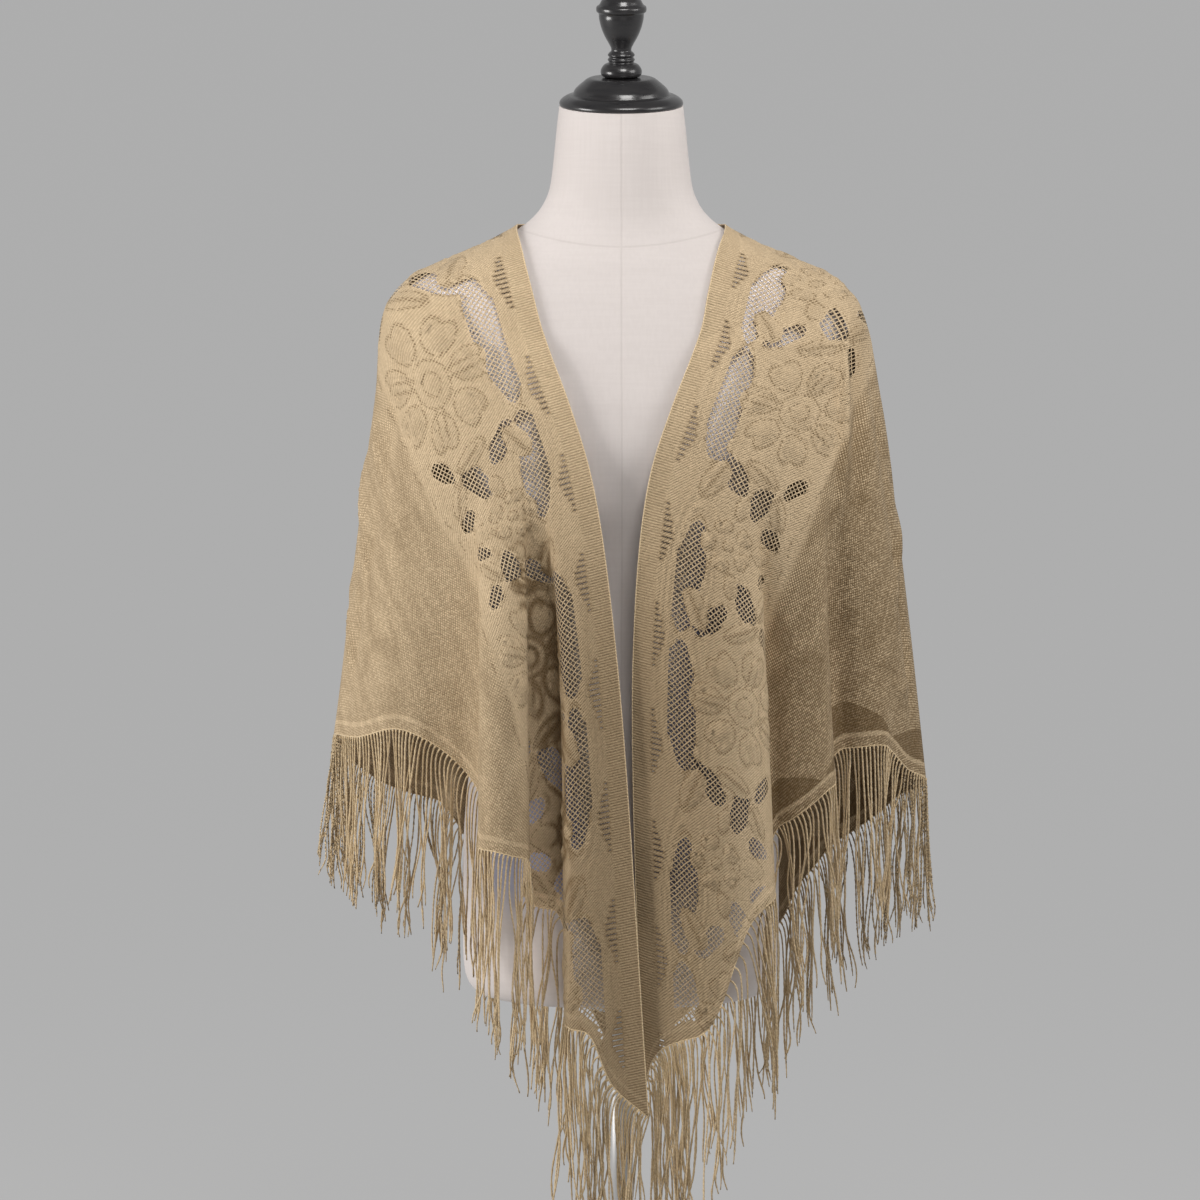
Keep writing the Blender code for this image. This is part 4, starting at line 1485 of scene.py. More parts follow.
    def slot_top(self, phase: Array) -> Array:
        """Return how deep a ladder slot reaches at its place along the border, or 0.

        Args:
            phase: Running number of the repeat.

        Returns:
            The depth in millimetres.
        """
        third = phase * 3.0 - 0.5
        x = (third - np.round(third)) * self.repeat / 3.0
        t = (x + self.ladder_half) / (2.0 * self.ladder_half)
        rise = np.minimum(t / self.ladder_peak, (1.0 - t) / (1.0 - self.ladder_peak))
        top = self.ladder_foot + np.maximum(rise * self.slot_height, 1.4)
        return np.where((t > 0.0) & (t < 1.0), top, 0.0)

    def from_windows(self, x: Array, v: Array) -> Array:
        """Return roughly how far flat places lie outside the long windows."""
        gaps = [(Shape(*row).depth(x, v) - 1.0) * 15.0 for row in self.long_windows]
        return np.min(gaps, axis=0)

    def kinds(self, phase: Array, v: Array) -> tuple[Array, Array, Array]:
        """Read the design at flat places.

        Args:
            phase: The repeat's running number.
            v: Depth from the long edge in millimetres.

        Returns:
            Cell kinds as numbers, relief in millimetres, and distance to a rim in millimetres.
        """
        x = (phase - np.round(phase)) * self.repeat
        kind = np.full(len(v), Cell.SOLID.value)
        relief = np.zeros(len(v))
        rims = np.full(len(v), self.far)
        scallop = 7.0 * np.cos(TURN * x / self.repeat)
        border = self.border_end + scallop + 4.0 * np.abs(np.cos(3.0 * TURN * x / self.repeat))
        for shape in self.shapes():
            depth = shape.depth(x, v)
            inside = depth < 1.0
            away = np.abs(depth - 1.0) * shape.width
            if shape.kind is Cell.EYELET:
                rims = np.where(inside, 0.0, np.minimum(rims, away))
                continue
            if shape.outlined or shape.kind is Cell.NET:
                rims = np.where(inside, away, np.minimum(rims, away))
            else:
                rims = np.where(inside, self.far, rims)
            kind[inside] = shape.kind.value
            relief = np.where(inside, shape.raised * (1.0 - depth ** 2), relief)
        past = (v > border - 6.0) | (v < self.border_start)
        kind[past] = Cell.SOLID.value
        relief[past], rims[past] = 0.0, self.far
        broken = np.abs(v - border - 2.0) + np.where(np.sin(x * 0.23) > -0.3, 0.0, 9.0)
        rims = np.minimum(rims, broken)
        relief += 0.3 * np.exp(-((v - border) / 3.0) ** 2)
        beside = self.from_windows(x, v)
        lines = 0.42 * np.cos(TURN * (beside - 3.0) / self.line_pitch)
        lines *= 1.0 - smoothstep(*self.lines_fade, beside)
        relief += np.where((beside > 1.5) & (v > 17.0) & (rims > 2.0), lines, 0.0)
        relief += 0.35 * np.exp(-((v - 1.6) / 1.2) ** 2)
        return kind, relief, rims


@dataclass
class Lattice:
    """Flat lace of both sides as one net of points and cells, before it is draped.

    Half pitches are in millimetres. Points are numbered once for both sides, with
    u below zero on the left.
    """

    design: LaceDesign
    half_u: float = 2.4
    half_v: float = 2.25
    slot: float = 0.46
    # painted shade round the ladder slots and on the rims of net holes
    slot_shade: float = 0.55
    hole_rim_shade: float = 0.10
    band_course: float = 2.625
    band_rows: int = 14
    border_rows: int = 68
    ground_step: float = 4.0
    width: float = 975.0
    depth: float = 800.0
    rim_cells: float = 2.8
    front_u: float = 420.0
    front_hole: float = 0.70
    back_hole: float = 0.68
    points: list = field(default_factory=list)
    faces: list = field(default_factory=list)
    index: dict = field(default_factory=dict)
    pit_shades: dict = field(default_factory=dict)
    nets: list = field(default_factory=list)

    def point(self, key: tuple, u: float, v: float) -> int:
        """Return the number of the point with a key, making it when new.

        Args:
            key: What tells the point from all others.
            u: Its place along the border.
            v: Its place across it.

        Returns:
            The point's number.
        """
        if key not in self.index:
            self.index[key] = len(self.points)
            self.points.append((u, v))
        return self.index[key]

    def phases(self, u: Array, v: Array) -> Array:
        """Return the repeat's running number at signed flat places.

        Args:
            u: Places along the border, negative on the left side.
            v: Places across it.

        Returns:
            The running numbers, negative on the left side.
        """
        left = -self.design.phase(Side.LEFT, -u, v)
        right = self.design.phase(Side.RIGHT, u, v)
        return np.where(u < 0.0, left, right)

    def last_column(self, v: float) -> int:
        """Return the last column that the cloth can reach at a depth."""
        reach = (self.width + 40.0) * (1.0 - v / (self.depth + 40.0)) + 60.0
        return int(reach / self.half_u)

    def build(self) -> None:
        """Lay the band, the border and the ground."""
        self.lay_band()
        self.lay_border()
        self.lay_ground()

    def lay_band(self) -> None:
        """Lay the edge band with its ladder slots."""
        half = self.band_rows // 2
        rows = [self.band_course * k for k in range(half)]
        rows += [self.band_course * (half - 1) + self.half_v * k for k in range(1, half + 1)]
        last = self.last_column(0.0) // 2 * 2 + 1
        columns = []
        for i in range(-last, last + 1):
            u = i * self.half_u
            columns += [(i, 0, u)] if i % 2 else [(i, -1, u - self.slot), (i, 1, u + self.slot)]
        at = np.array([c[2] for c in columns])
        middle = (at[1:] + at[:-1]) / 2.0
        tops = self.design.slot_top(self.phases(middle, np.full(len(middle), 22.0)))
        numbers = [[self.point(("band", i, part, r), u, v) for r, v in enumerate(rows)]
                   for i, part, u in columns]
        for k, c in enumerate(columns[:-1]):
            for r in range(len(rows) - 1):
                v = (rows[r] + rows[r + 1]) / 2.0
                cell = (numbers[k][r], numbers[k + 1][r], numbers[k + 1][r + 1], numbers[k][r + 1])
                if c[1] == -1 and self.design.ladder_foot + 0.3 < v < tops[k]:
                    # painted shade round the slot
                    self.pit_shades.update(dict.fromkeys(cell, self.slot_shade))
                else:
                    self.faces.append(cell)
        top = len(rows) - 1
        for i, part, _ in columns:
            if part == 0:
                self.index[(i, self.band_rows)] = self.index[("band", i, 0, top)]
        for i in range(-last + 1, last, 2):
            row = self.band_rows + 1
            tip = self.point((i, row), i * self.half_u, row * self.half_v)
            run = [self.index[key] for key in ((i - 1, self.band_rows), ("band", i, -1, top),
                                               ("band", i, 1, top), (i + 1, self.band_rows))]
            self.faces += [(a, b, tip) for a, b in zip(run, run[1:])]

    def lay_border(self) -> None:
        """Lay the diamond cells of the border, open where the design has net."""
        centres = []
        for j in range(self.band_rows + 1, self.border_rows):
            last = self.last_column(j * self.half_v)
            centres += [(i, j) for i in range(-last, last + 1) if (i + j) % 2 == 0]
        place = np.array(centres, float) * (self.half_u, self.half_v)
        phases = self.phases(place[:, 0], place[:, 1])
        kinds, _, rims = self.design.kinds(phases, place[:, 1])
        net = {c for c, kind in zip(centres, kinds) if kind == Cell.NET.value}
        for (i, j), rim in zip(centres, rims):
            outer = [self.point(key, key[0] * self.half_u, key[1] * self.half_v)
                     for key in self.ring(i, j)]
            if (i, j) in net:
                continue
            if rim > self.rim_cells:
                self.faces.append(tuple(outer))
                continue
            middle = self.point(("middle", i, j), i * self.half_u, j * self.half_v)
            self.faces += [(outer[n], outer[(n + 1) % 4], middle) for n in range(4)]
        self.round_windows(net)
        for i, j in sorted(net):
            self.open_cell(i, j)

    def open_cell(self, i: int, j: int) -> None:
        """Lay the threads round the hole of a net cell.

        Args:
            i: The cell's number along the border.
            j: Its number across the border.
        """
        u, v = i * self.half_u, j * self.half_v
        share = self.front_hole if abs(u) < self.front_u else self.back_hole
        outer = [self.index[key] for key in self.ring(i, j)]
        inner = []
        for n, corner in enumerate(outer):
            x, y = self.points[corner]
            inner.append(self.point(("hole", i, j, n), u + (x - u) * share, v + (y - v) * share))
        # painted shade on the rim of the hole
        self.pit_shades.update(dict.fromkeys(inner, self.hole_rim_shade))
        threads = [(outer[n], outer[n - 3], inner[n - 3], inner[n]) for n in range(4)]
        self.nets.append((tuple(outer), threads))

    @staticmethod
    def ring(i: int, j: int) -> list[tuple[int, int]]:
        """Return the keys of the four corners of a cell."""
        return [(i - 1, j), (i, j - 1), (i + 1, j), (i, j + 1)]

    def round_windows(self, net: set) -> None:
        """Smooth the stepped edges of the windows of net.

        Args:
            net: Places of the cells that are net.
        """
        beside: dict[tuple, set] = {}
        for i, j in net:
            ring = self.ring(i, j)
            for n, (di, dj) in enumerate(((-1, -1), (1, -1), (1, 1), (-1, 1))):
                if (i + di, j + dj) not in net:
                    a, b = ring[n], ring[(n + 1) % 4]
                    beside.setdefault(a, set()).add(b)
                    beside.setdefault(b, set()).add(a)
        for _ in range(3):
            moved = {}
            for key, near in beside.items():
                if len(near) == 2 and self.band_rows < key[1] < self.border_rows:
                    (ax, ay), (bx, by) = (self.points[self.index[k]] for k in sorted(near))
                    x, y = self.points[self.index[key]]
                    moved[key] = (x * 0.5 + (ax + bx) * 0.25, y * 0.5 + (ay + by) * 0.25)
            for key, place in moved.items():
                self.points[self.index[key]] = place

    def lay_ground(self) -> None:
        """Lay the plain cells of the ground inside the border."""
        j = self.border_rows
        start = j * self.half_v
        last = self.last_column(start) // 2 * 2 - 1
        for i in range(-last + 1, last, 2):
            tip = self.index.get((i, j - 1))
            a, b = (self.point((k, j), k * self.half_u, start) for k in (i - 1, i + 1))
            if tip is not None:
                self.faces.append((a, tip, b))
        for r in range(int((self.depth - start) / self.ground_step) + 1):
            last = self.last_column(start + r * self.ground_step) // 2 * 2 - 1
            for i in range(-last, last, 2):
                corner = []
                for k, m in ((i, r), (i + 2, r), (i + 2, r + 1), (i, r + 1)):
                    key = (k, j) if m == 0 else ("ground", k, m)
                    v = start + m * self.ground_step
                    corner.append(self.point(key, k * self.half_u, v))
                self.faces.append(tuple(corner))


@dataclass
class DrapedCloth:
    """Lattice carried onto the two drapes: places, normals and where the hem cuts it."""

    lattice: Lattice
    left: Drape
    right: Drape
    lift: float = 0.25
    probe: float = 0.7
    solid_hem: float = 13.0
    lost: float = 1.5
    lost_inside: float = 8.0
    outside: float = -99.0
    rim_fade: Span = (0.3, 1.9)
    ground_from: float = 150.0
    # painted shade in the deep trough of the left wing, strongest along the motif outlines
    trough_shade_u: tuple[Span, Span] = ((-790.0, -730.0), (-470.0, -420.0))
    trough_shade_v: tuple[Span, Span] = ((48.0, 56.0), (100.0, 112.0))
    trough_shade_fade: Span = (1.7, 3.4)
    trough_shade: float = 0.66
    spray_from: float = 152.0
    spray_repeat: Span = (150.0, 120.0)
    spray_pits: Span = (0.13, 0.24)
    spray_leaves: tuple = (
        # x, v, half length, half width, angle
        (-24, -8, 26, 8, 28), (26, -6, 24, 8, -32), (0, 24, 20, 7, 88),
    )

    def look(self, du: float, dv: float) -> tuple[Array, Array, Array]:
        """Return the design's kinds, relief and rim distance a step away from every point."""
        u, v = self.flat[:, 0] + du, self.flat[:, 1] + dv
        return self.lattice.design.kinds(self.lattice.phases(u, v), v)

    def sprays(self, flat: Array) -> Array:
        """Find the faint sprays of leaves in the plain ground.

        Args:
            flat: Places on the flat cloth.

        Returns:
            How dark the cloth is at each place.
        """
        wide, high = self.spray_repeat
        x = (flat[:, 0] + 0.45 * flat[:, 1]) / wide
        y = (flat[:, 1] - 170.0) / high
        x = (x - np.round(x)) * wide
        y = (y - np.round(y)) * high
        most = np.where(flat[:, 0] > 0.0, self.spray_pits[1], self.spray_pits[0])
        dark = np.zeros(len(flat))
        for row in self.spray_leaves:
            dark = np.maximum(dark, most * (1.0 - smoothstep(0.8, 1.1, Shape(*row).depth(x, y))))
        return np.where(flat[:, 1] > self.spray_from, dark, 0.0)

    def shade(self, kinds: Array, relief: Array, rims: Array) -> None:
        """Work out the tone, the rims, the painted shade at slots, hole rims and the left trough,
        and the dark sprays of every point.

        Args:
            kinds: Cell kinds as numbers.
            relief: Relief in millimetres.
            rims: Distance to the nearest rim of a motif.
        """
        u, v = self.flat.T
        closed = kinds != Cell.NET.value
        tone = np.where(kinds == Cell.SOLID.value, 0.75, 0.45) + np.clip(relief, 0.0, 1.0) * 0.25
        tone[v > self.ground_from] = 0.5
        # painted shade at slots, hole rims and the left trough, plus dark sprays of leaves
        pit = np.zeros(len(u))
        pit[list(self.lattice.pit_shades)] = list(self.lattice.pit_shades.values())
        # painted shade in the left trough, along the motif outlines
        deep_shade = window(*self.trough_shade_u, u) * smoothstep(*self.trough_shade_v[0], v)
        deep_shade = deep_shade * (1.0 - smoothstep(*self.trough_shade_v[1], v))
        deep_shade = self.trough_shade * deep_shade * (1.0 - smoothstep(*self.trough_shade_fade, rims)) * closed
        pit = np.maximum(np.maximum(pit, deep_shade), self.sprays(self.flat))
        rim = (1.0 - smoothstep(*self.rim_fade, rims)) * closed
        self.values = {"tone": tone, "hem": np.zeros(len(u)), "run": np.zeros(len(u)),
                       "pit": pit, "rim": rim}

    def carry(self) -> None:
        """Find every lattice point on its drape."""
        self.flat = np.array(self.lattice.points)
        count = len(self.flat)
        self.place, self.normal = np.zeros((count, 3)), np.zeros((count, 3))
        self.around = np.zeros(count)
        kinds, relief, rims = self.look(0.0, 0.0)
        self.shade(kinds, relief, rims)
        step = self.probe
        rise = [(self.look(*ahead)[1] - self.look(*behind)[1]) / (2.0 * step)
                for ahead, behind in (((step, 0.0), (-step, 0.0)), ((0.0, step), (0.0, -step)))]
        left = self.flat[:, 0] < 0.0
        for drape, chosen in ((self.left, left), (self.right, ~left)):
            self.carry_side(drape, np.nonzero(chosen)[0], relief, rise)

    def carry_side(self, drape: Drape, which: Array, relief: Array, rise: list[Array]) -> None:
        """Find the points of one side on their drape.

        Args:
            drape: The side's drape.
            which: Numbers of the side's points.
            relief: Relief of all points.
            rise: Slope of the relief of all points along and across the border.
        """
        sign = drape.side.value
        there = self.flat[which] * (sign, 1.0)
        column, row, miss = drape.find(there)
        normal = unit(bilinear(drape.grid_normals, column, row))
        base = bilinear(drape.grid, column, row)
        self.place[which] = base + normal * (relief[which] + self.lift)[:, None]
        ways = []
        for step in ((1.0, 0.0), (0.0, 1.0)):
            found = drape.find(there + step)
            ways.append(unit(bilinear(drape.grid, found[0], found[1]) - base))
        normal = normal - ways[0] * (sign * rise[0][which])[:, None]
        self.normal[which] = unit(normal - ways[1] * rise[1][which][:, None])
        columns, last_row = np.arange(drape.columns), drape.rows - 1.0
        hem_run = running_lengths(drape.points[None, :, -1])[0]
        self.around[which] = np.interp(column, columns, drape.around)
        self.values["run"][which] = np.interp(column, columns, hem_run)
        left_over = (last_row - row) / last_row * np.interp(column, columns, drape.lengths)
        past = row >= drape.flat.shape[1] - 1.01
        within = (row < drape.rows - 6.0) & (column > 1.0) & ~past
        lost = miss > np.where(within, self.lost_inside, self.lost)
        self.values["hem"][which] = np.where(lost | past, self.outside, left_over)
        LOG.info("%s: %d points, %d lost inside", drape.side.name.lower(), len(which),
                 int((lost & within).sum()))

    def cut(self) -> None:
        """Cut the cells at the hem and sort them into stretches."""
        place, normal, flat = self.place.tolist(), self.normal.tolist(), self.flat.tolist()
        values = {name: table.tolist() for name, table in self.values.items()}
        inside, around, run = values["hem"], self.around.tolist(), values["run"]
        made: dict = {}

        def between(a: int, b: int) -> int:
            """Return the point where a cell's side crosses the hem.

            Args:
                a: One end of the side.
                b: The other end.

            Returns:
                The point's number.
            """
            key = (min(a, b), max(a, b))
            if key not in made:
                t = inside[a] / (inside[a] - inside[b])
                made[key] = len(place)
                for table in (place, normal, flat):
                    table.append([p + (q - p) * t for p, q in zip(table[a], table[b])])
                around.append(around[a] + (around[b] - around[a]) * t)
                here = {"hem": 0.0, "run": run[a] + (run[b] - run[a]) * t,
                        "tone": values["tone"][a], "pit": 0.0, "rim": 0.0}
                for name, value in here.items():
                    values[name].append(value)
            return made[key]

        self.stretches: dict[Stretch, list] = {stretch: [] for stretch in Stretch}
        faces = list(self.lattice.faces)
        for outer, threads in self.lattice.nets:
            faces += [outer] if min(inside[k] for k in outer) < self.solid_hem else threads
        for face in faces:
            left_over = [inside[k] for k in face]
            if max(left_over) <= 0.0 or min(left_over) == self.outside:
                continue
            if min(left_over) < 0.0:
                kept = []
                for a, b in zip(face, face[1:] + face[:1]):
                    if inside[a] >= 0.0:
                        kept.append(a)
                    if inside[a] * inside[b] < 0.0:
                        kept.append(between(a, b))
                face = tuple(kept)
                if len(face) < 3:
                    continue
            back = sum(around[k] for k in face) / len(face) >= 1.0
            if sum(flat[k][0] for k in face) < 0.0:
                stretch = Stretch.LEFT_BACK if back else Stretch.LEFT_WING
            else:
                stretch = Stretch.RIGHT_BACK if back else Stretch.RIGHT_WING
            self.stretches[stretch].append(face)
        self.place, self.normal, self.flat = np.array(place), np.array(normal), np.array(flat)
        self.values = {name: np.array(table) for name, table in values.items()}

    def piece(self, stretch: Stretch, material: Material) -> Item:
        """Make the lace of one stretch.

        Args:
            stretch: Which stretch of the shawl.
            material: The lace's material.

        Returns:
            The new object.
        """
        faces = self.stretches[stretch]
        used = np.unique(np.fromiter((k for face in faces for k in face), int))
        number = dict(zip(used.tolist(), range(len(used))))
        faces = [[number[k] for k in face] for face in faces]
        item = build_mesh("lace_" + stretch.value, self.place[used], faces, material)
        for name, table in self.values.items():
            point_values(item, name, table[used])
        point_chart(item, self.flat[used])
        item.data.normals_split_custom_set_from_vertices(self.normal[used].tolist())
        return item


# ---------------------------------------------------------------- fringe


@dataclass
class Fringe:
    """Knotless fringe of twisted cords hanging from the hem of one side."""

    drape: Drape
    seed: int
    pitch: float = 3.6
    tip: float = 40.0
    tip_pitch: float = 2.3
    lengths: tuple = ((0, 162), (0.35, 160), (0.7, 142), (1, 120), (1.25, 124), (2, 150))
    rings: int = 44
    width: float = 1.95
    thick: float = 1.45
    twist: float = 13.0
    arch: float = 9.0
    clear: float = 1.6
    full_turn: float = 6.28
    dark_edge: float = 0.12

    def roots(self) -> tuple[Array, ...]:
        """Place the strands along the hem.

        Returns:
            Where they start, which way the hem falls and runs there, their around, and
            their place along the hem.
        """
        hem = self.drape.points[:, -1]
        fall = unit(hem - self.drape.points[:, -4])
        course = unit(np.gradient(hem, axis=0))
        slant = np.linalg.norm(np.cross(course, fall), axis=1)
        steps = np.linalg.norm(np.diff(hem, axis=0), axis=1)
        level = np.maximum((slant[1:] + slant[:-1]) / 2.0, 0.12)
        run = np.concatenate([[0.0], np.cumsum(steps * level)])
        at = np.sort(np.concatenate([np.arange(self.pitch * 0.4, run[-1], self.pitch),
                                     np.arange(1.2, self.tip, self.tip_pitch)]))
        found = [read_columns(at, run, table) for table in (hem, fall, course)]
        return *found, np.interp(at, run, self.drape.around), at

    @staticmethod
    def alike(rng: np.random.Generator, group: Array, size: float, own: float) -> Array:
        """Return random numbers that groups share, plus a smaller one of each strand."""
        return rng.normal(0.0, size, group[-1] + 1)[group] + rng.normal(0.0, own, len(group))

    def sway(self, rng: np.random.Generator, group: Array, size: float, fastest: float,
             t: Array) -> Array:
        """Draw one random wave down every strand.

        Args:
            rng: Source of the random numbers.
            group: Each strand's group.
            size: Spread of the waves' heights.
            fastest: Most waves on a strand.
            t: How far down its strand each ring is.

        Returns:
            How far each ring is moved.
        """
        height = self.alike(rng, group, size, size * 0.4)[:, None]
        rate = rng.uniform(0.5, fastest, len(group))[:, None]
        start = self.alike(rng, group, 2.0, 2.0 * 0.4)[:, None]
        return height * (np.sin(self.full_turn * rate * t + start) - np.sin(start)) * t ** 0.5

    def paths(self) -> tuple[Array, Array, Array]:
        """Draw the strands' paths.

        Returns:
            The paths, their around and how long each strand is.
        """
        rng = np.random.default_rng(self.seed)
        root, fall, course, around, at = self.roots()
        count = len(root)
        group = np.cumsum(rng.random(count) < 0.22)
        groups = group[-1] + 1
        centre = np.array([at[group == g].mean() for g in range(groups)])[group]
        pull = rng.uniform(0.25, 0.95, groups)[group] * rng.uniform(0.7, 1.1, count)
        lean = self.alike(rng, group, 4.0, 2.0)
        lean += np.where(rng.random(count) < 0.10, rng.normal(0.0, 13.0, count), 0.0)
        t = np.linspace(0.0, 1.0, self.rings)[None]
        length = np.interp(around, *zip(*self.lengths)) * rng.uniform(0.9, 1.08, count)
        level = unit(course * (1.0, 1.0, 0.0))
        outward = np.cross(level, (0.0, 0.0, 1.0)) * self.drape.side.value
        along = pull[:, None] * (centre - at)[:, None] * smoothstep(0.05, 0.65, t)
        along = along + lean[:, None] * t ** 1.6
        for _ in range(3):
            along += self.sway(rng, group, 1.6, 1.9, t)
        across = rng.normal(0.0, 1.0, groups)[group][:, None] * 4.0 * t ** 1.3
        for _ in range(2):
            across = across + self.sway(rng, group, 1.3, 1.8, t)
        curl = np.where(rng.random(count) < 0.35, rng.uniform(1.5, 4.0, count), 0.3)[:, None]
        twist = rng.uniform(9.0, 16.0, count)[:, None] * (t - 0.75)
        twist = twist + rng.uniform(0.0, self.full_turn, count)[:, None]
        end = smoothstep(0.75, 1.0, t)
        along = along + curl * np.cos(twist) * end
        across = across + curl * np.sin(twist) * end
        drop = length[:, None] * t
        square = unit(fall - course * (fall * course).sum(1, keepdims=True))
        start = self.arch * (1.0 - np.exp(-drop / self.arch))
        path = root[:, None] + square[:, None] * start[..., None]
        path = path + level[:, None] * along[..., None] + outward[:, None] * across[..., None]
        path[..., 2] -= drop * 0.99 - start
        path = self.drape.body.push_clear(path.reshape(-1, 3), self.clear).reshape(path.shape)
        return path, around, length

    def build(self, wing: Stretch, back: Stretch, material: Material) -> dict[Stretch, Item]:
        """Make the fringe of the wing and of the back.

        Args:
            wing: The front stretch of this side.
            back: The back stretch of this side.
            material: The cords' material.

        Returns:
            The cords of each stretch.
        """
        rng = np.random.default_rng(self.seed + 50)
        path, around, length = self.paths()
        first, second = path_frames(path)
        count, rings = path.shape[:2]
        low = np.linspace(0.0, 1.0, rings)
        t = low[None]
        spin = rng.uniform(0.0, self.full_turn, count)[:, None]
        spin = spin + t * length[:, None] * self.full_turn / self.twist
        taper = 1.0 - 0.35 * smoothstep(0.9, 1.0, t) + 0.25 * (1.0 - smoothstep(0.0, 0.03, t))
        tone = np.clip(rng.normal(0.64, 0.18, count), 0.15, 1.0)
        tone = tone * (1.0 - 0.45 * (rng.random(count) < 0.5) * (around < self.dark_edge))
        corners = []
        for k, wide in enumerate((self.width, self.thick, self.width, self.thick)):
            angle = spin + k * QUARTER
            step = first * np.cos(angle)[..., None] + second * np.sin(angle)[..., None]
            corners.append(path + step * (wide / 2.0 * taper)[..., None])
        solid = np.stack(corners, axis=2)
        pieces = {}
        for stretch, chosen in ((wing, around < 1.0), (back, around >= 1.0)):
            part = solid[chosen]
            faces = [face for n in range(len(part)) for face in tube_faces(rings, 4, n * rings * 4)]
            name = "fringe_cords_" + stretch.value
            item = build_mesh(name, part.reshape(-1, 3), faces, material)
            down = np.tile(np.repeat(low, 4), len(part))
            own_tone, own_length = (np.repeat(each[chosen], rings * 4) for each in (tone, length))
            point_values(item, "tone", np.clip(own_tone + 0.1 * (down - 0.5), 0.0, 1.0))
            turn = np.tile(np.arange(4) * 250.0, len(part) * rings)
            point_chart(item, np.stack([turn, down * own_length], axis=1))
            pieces[stretch] = item
        return pieces


# ---------------------------------------------------------------- shawl


@dataclass
class Shawl:
    """Triangular lace shawl with a fringed hem, worn open over the form's shoulders."""

    body: BodyShape
    piping: float = 0.6
    piping_sides: int = 6
    left_seed: int = 21
    right_seed: int = 22
    flat_sizes: dict = field(default_factory=lambda: {
        # stretch: (width, length, area) of the flat cut in metres
        Stretch.LEFT_WING: (0.87, 0.44, 0.163), Stretch.RIGHT_WING: (0.87, 0.44, 0.165),
        Stretch.LEFT_BACK: (0.43, 0.79, 0.190), Stretch.RIGHT_BACK: (0.48, 0.79, 0.205),
    })

    def cord(self, name: str, path: Array, material: Material) -> Item:
        """Make a thin cord along an edge.

        Args:
            name: The piece's name.
            path: Points along the edge.
            material: The cord's material.

        Returns:
            The new object.
        """
        first, second = path_frames(path[None])
        sides = self.piping_sides
        rings = []
        for k in range(sides):
            angle = k * TURN / sides
            step = first[0] * math.cos(angle) + second[0] * math.sin(angle)
            rings.append(path + step * self.piping)
        solid = np.stack(rings, axis=1).reshape(-1, 3)
        item = build_mesh(name, solid, tube_faces(len(path), sides), material)
        run = running_lengths(path[None])[0]
        point_values(item, "tone", np.full(len(solid), 0.9))
        turn = np.tile(np.arange(sides) * 166.0, len(path))
        point_chart(item, np.stack([turn, np.repeat(run, sides)], axis=1))
        return item

    def build(self, rests_on: Item) -> None:
        """Build the lace, its edge cords and its fringe.

        Args:
            rests_on: The piece that the shawl is draped over; not used.
        """
        left = Drape(Side.LEFT, self.body, LEFT_FOLDS, LEFT_BACK_FOLDS, LEFT_CREASES)
        right = Drape(Side.RIGHT, self.body, RIGHT_FOLDS, RIGHT_BACK_FOLDS, RIGHT_CREASES)
        lattice = Lattice(LaceDesign())
        lattice.build()
        LOG.info("lattice: %d points, %d cells", len(lattice.points), len(lattice.faces))
        cloth = DrapedCloth(lattice, left, right)
        cloth.carry()
        cloth.cut()
        lace, cord = LaceFinish().material(), CordFinish().material()
        edge = np.concatenate([left.points[0, ::-2], left.points[1::6, 0],
                               right.points[-2::-6, 0], right.points[0, ::2]])
        hem = np.concatenate([left.points[::2, -1], right.points[::-2, -1]])
        trims = [self.cord("edge_cord", edge, cord), self.cord("hem_cord", hem, cord)]
        fringes = Fringe(left, self.left_seed).build(Stretch.LEFT_WING, Stretch.LEFT_BACK, cord)
        fringes.update(
            Fringe(right, self.right_seed).build(Stretch.RIGHT_WING, Stretch.RIGHT_BACK, cord))
        for stretch in Stretch:
            item, strands = cloth.piece(stretch, lace), fringes[stretch]
            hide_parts("shawl_" + stretch.value)
            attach(item, "root")
            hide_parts("fringe_" + stretch.value)
            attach(strands, "root")
            with_pieces = [strands] + (trims if stretch is Stretch.LEFT_WING else [])
            LOG.info("%s: %d lace cells, %d cord faces", stretch.value, len(item.data.polygons),
                     len(strands.data.polygons))
        for item in trims:
            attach(item, "root")
            LOG.info("%s: %d faces", item.name, len(item.data.polygons))


# ---------------------------------------------------------------- studio


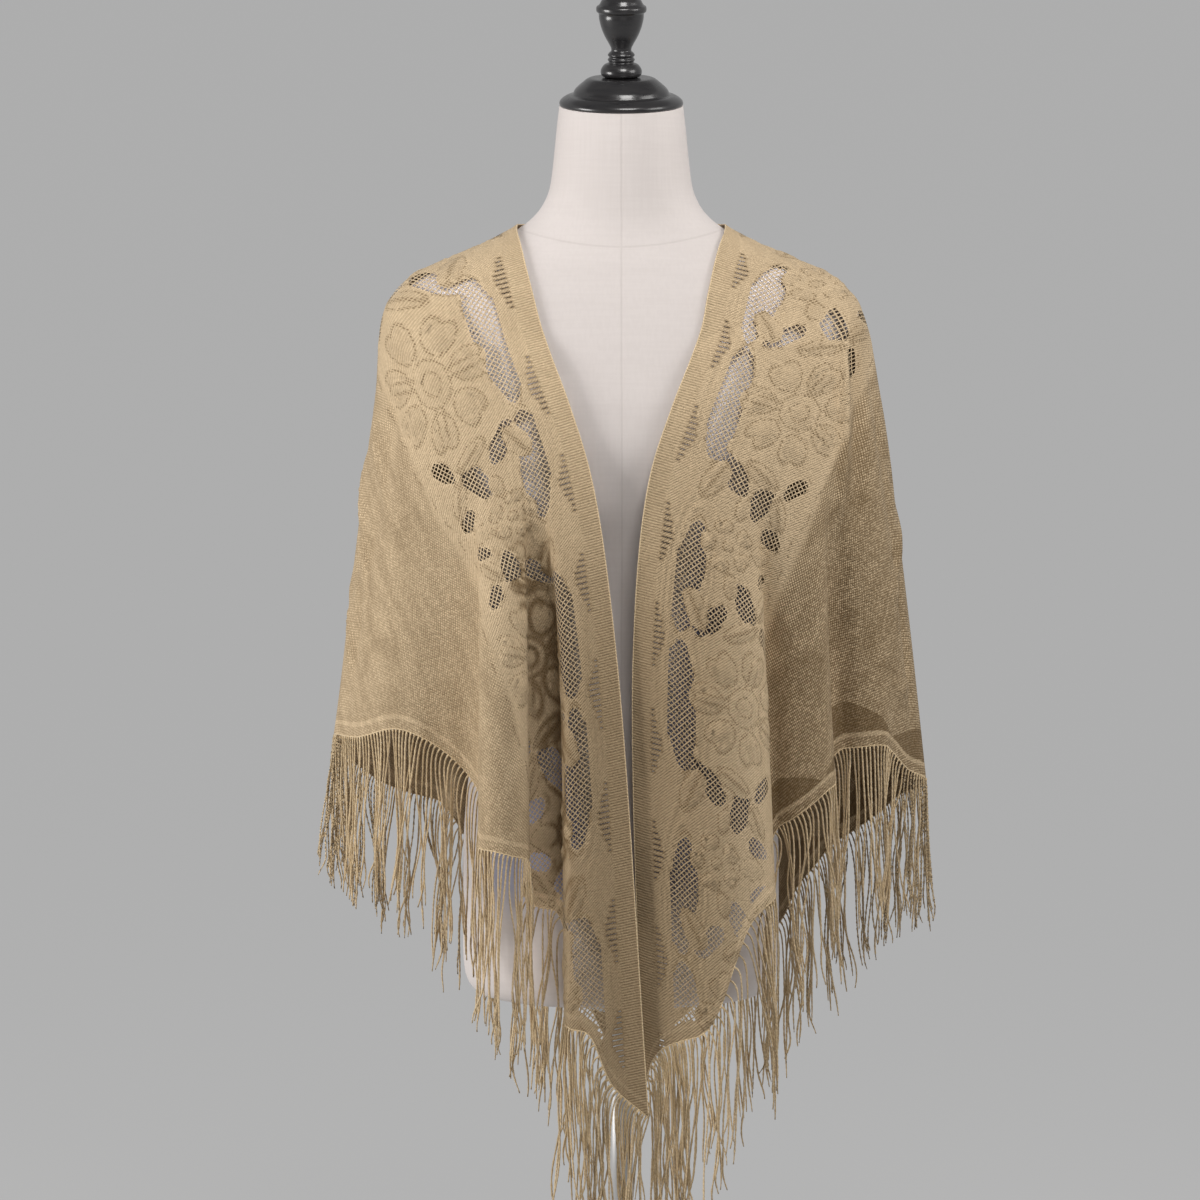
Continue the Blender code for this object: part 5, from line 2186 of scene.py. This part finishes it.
@dataclass
class Studio:
    """Round pale studio, soft light and the camera."""

    target: tuple[float, float, float] = (-0.0185, 0.0, 0.69936)
    distance: float = 4.0
    elevation: float = math.radians(4.0)
    frame: float = 1.056
    sensor: float = 36.0
    floor: float = 3500.0
    bend: float = 5000.0
    wall: float = 9000.0
    sides: int = 96
    light_colour: Colour = (1.0, 0.985, 0.97)
    world: float = 0.17
    lights: tuple = (
        # name, place, size, energy
        ("key_light", (0.22, -1.0, 1.92), 0.55, 12.5),
        ("left_light", (-2.2, -0.8, 0.95), 1.0, 40.0),
        ("low_light", (0.5, -2.4, 0.3), 1.2, 1.4),
        ("right_light", (1.7, -0.75, 1.75), 1.0, 15.0),
    )

    def build_room(self) -> None:
        """Make the floor that turns up into a wall all round."""
        profile = [(0.02, 0.0), (1000.0, 0.0), (self.floor, 0.0)]
        for k in range(1, 17):
            angle = k * QUARTER / 16.0
            profile.append((self.floor + self.bend * math.sin(angle),
                            self.bend * (1.0 - math.cos(angle))))
        profile.append((self.floor + self.bend, self.wall))
        faces = tube_faces(len(profile), self.sides)[:-1]
        points = turned_points(profile, self.sides)
        build_mesh("studio_room", points, faces, PaperFinish().material())

    def add_light(self, name: str, place: Sequence[float], size: float, energy: float) -> None:
        """Add a soft square light aimed at the shawl.

        Args:
            name: The light's name.
            place: Where it stands, in metres.
            size: Length of its sides in metres.
            energy: Its power in watts.
        """
        data = bpy.data.lights.new(name, "AREA")
        data.size, data.energy, data.color = size, energy, self.light_colour
        item = link_item(name, data)
        item.location = place
        aim = Vector(self.target) - Vector(place)
        item.rotation_euler = aim.to_track_quat("-Z", "Y").to_euler()

    def add_camera(self) -> None:
        """Add the camera that sees the front of the shawl."""
        data = bpy.data.cameras.new("studio_camera")
        data.sensor_width = self.sensor
        data.lens = self.sensor * self.distance / self.frame
        data.clip_end = 60.0
        camera = link_item("studio_camera", data)
        away = Vector((0.0, -math.cos(self.elevation), math.sin(self.elevation)))
        camera.location = Vector(self.target) + away * self.distance
        camera.rotation_euler = (-away).to_track_quat("-Z", "Y").to_euler()
        bpy.context.scene.camera = camera
        bpy.context.scene.view_settings.view_transform = "Standard"

    def build(self) -> None:
        """Build the room, the lights, the air's glow and the camera."""
        self.build_room()
        for row in self.lights:
            self.add_light(*row)
        world = bpy.data.worlds.new("studio_air")
        world.use_nodes = True
        glow = world.node_tree.nodes["Background"]
        glow.inputs[0].default_value = (1.0, 1.0, 1.0, 1.0)
        glow.inputs[1].default_value = self.world
        bpy.context.scene.world = world
        self.add_camera()


def main() -> None:
    """Build every piece in order."""
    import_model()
    body = BodyShape()
    linen = DressForm(body).build()
    LOG.info("dress form: %d linen faces", len(linen.data.polygons))
    Shawl(body).build(linen)
    LOG.info("shawl: %d stretches", len(Stretch))
    Studio().build()


if __name__ == "__main__":
    main()
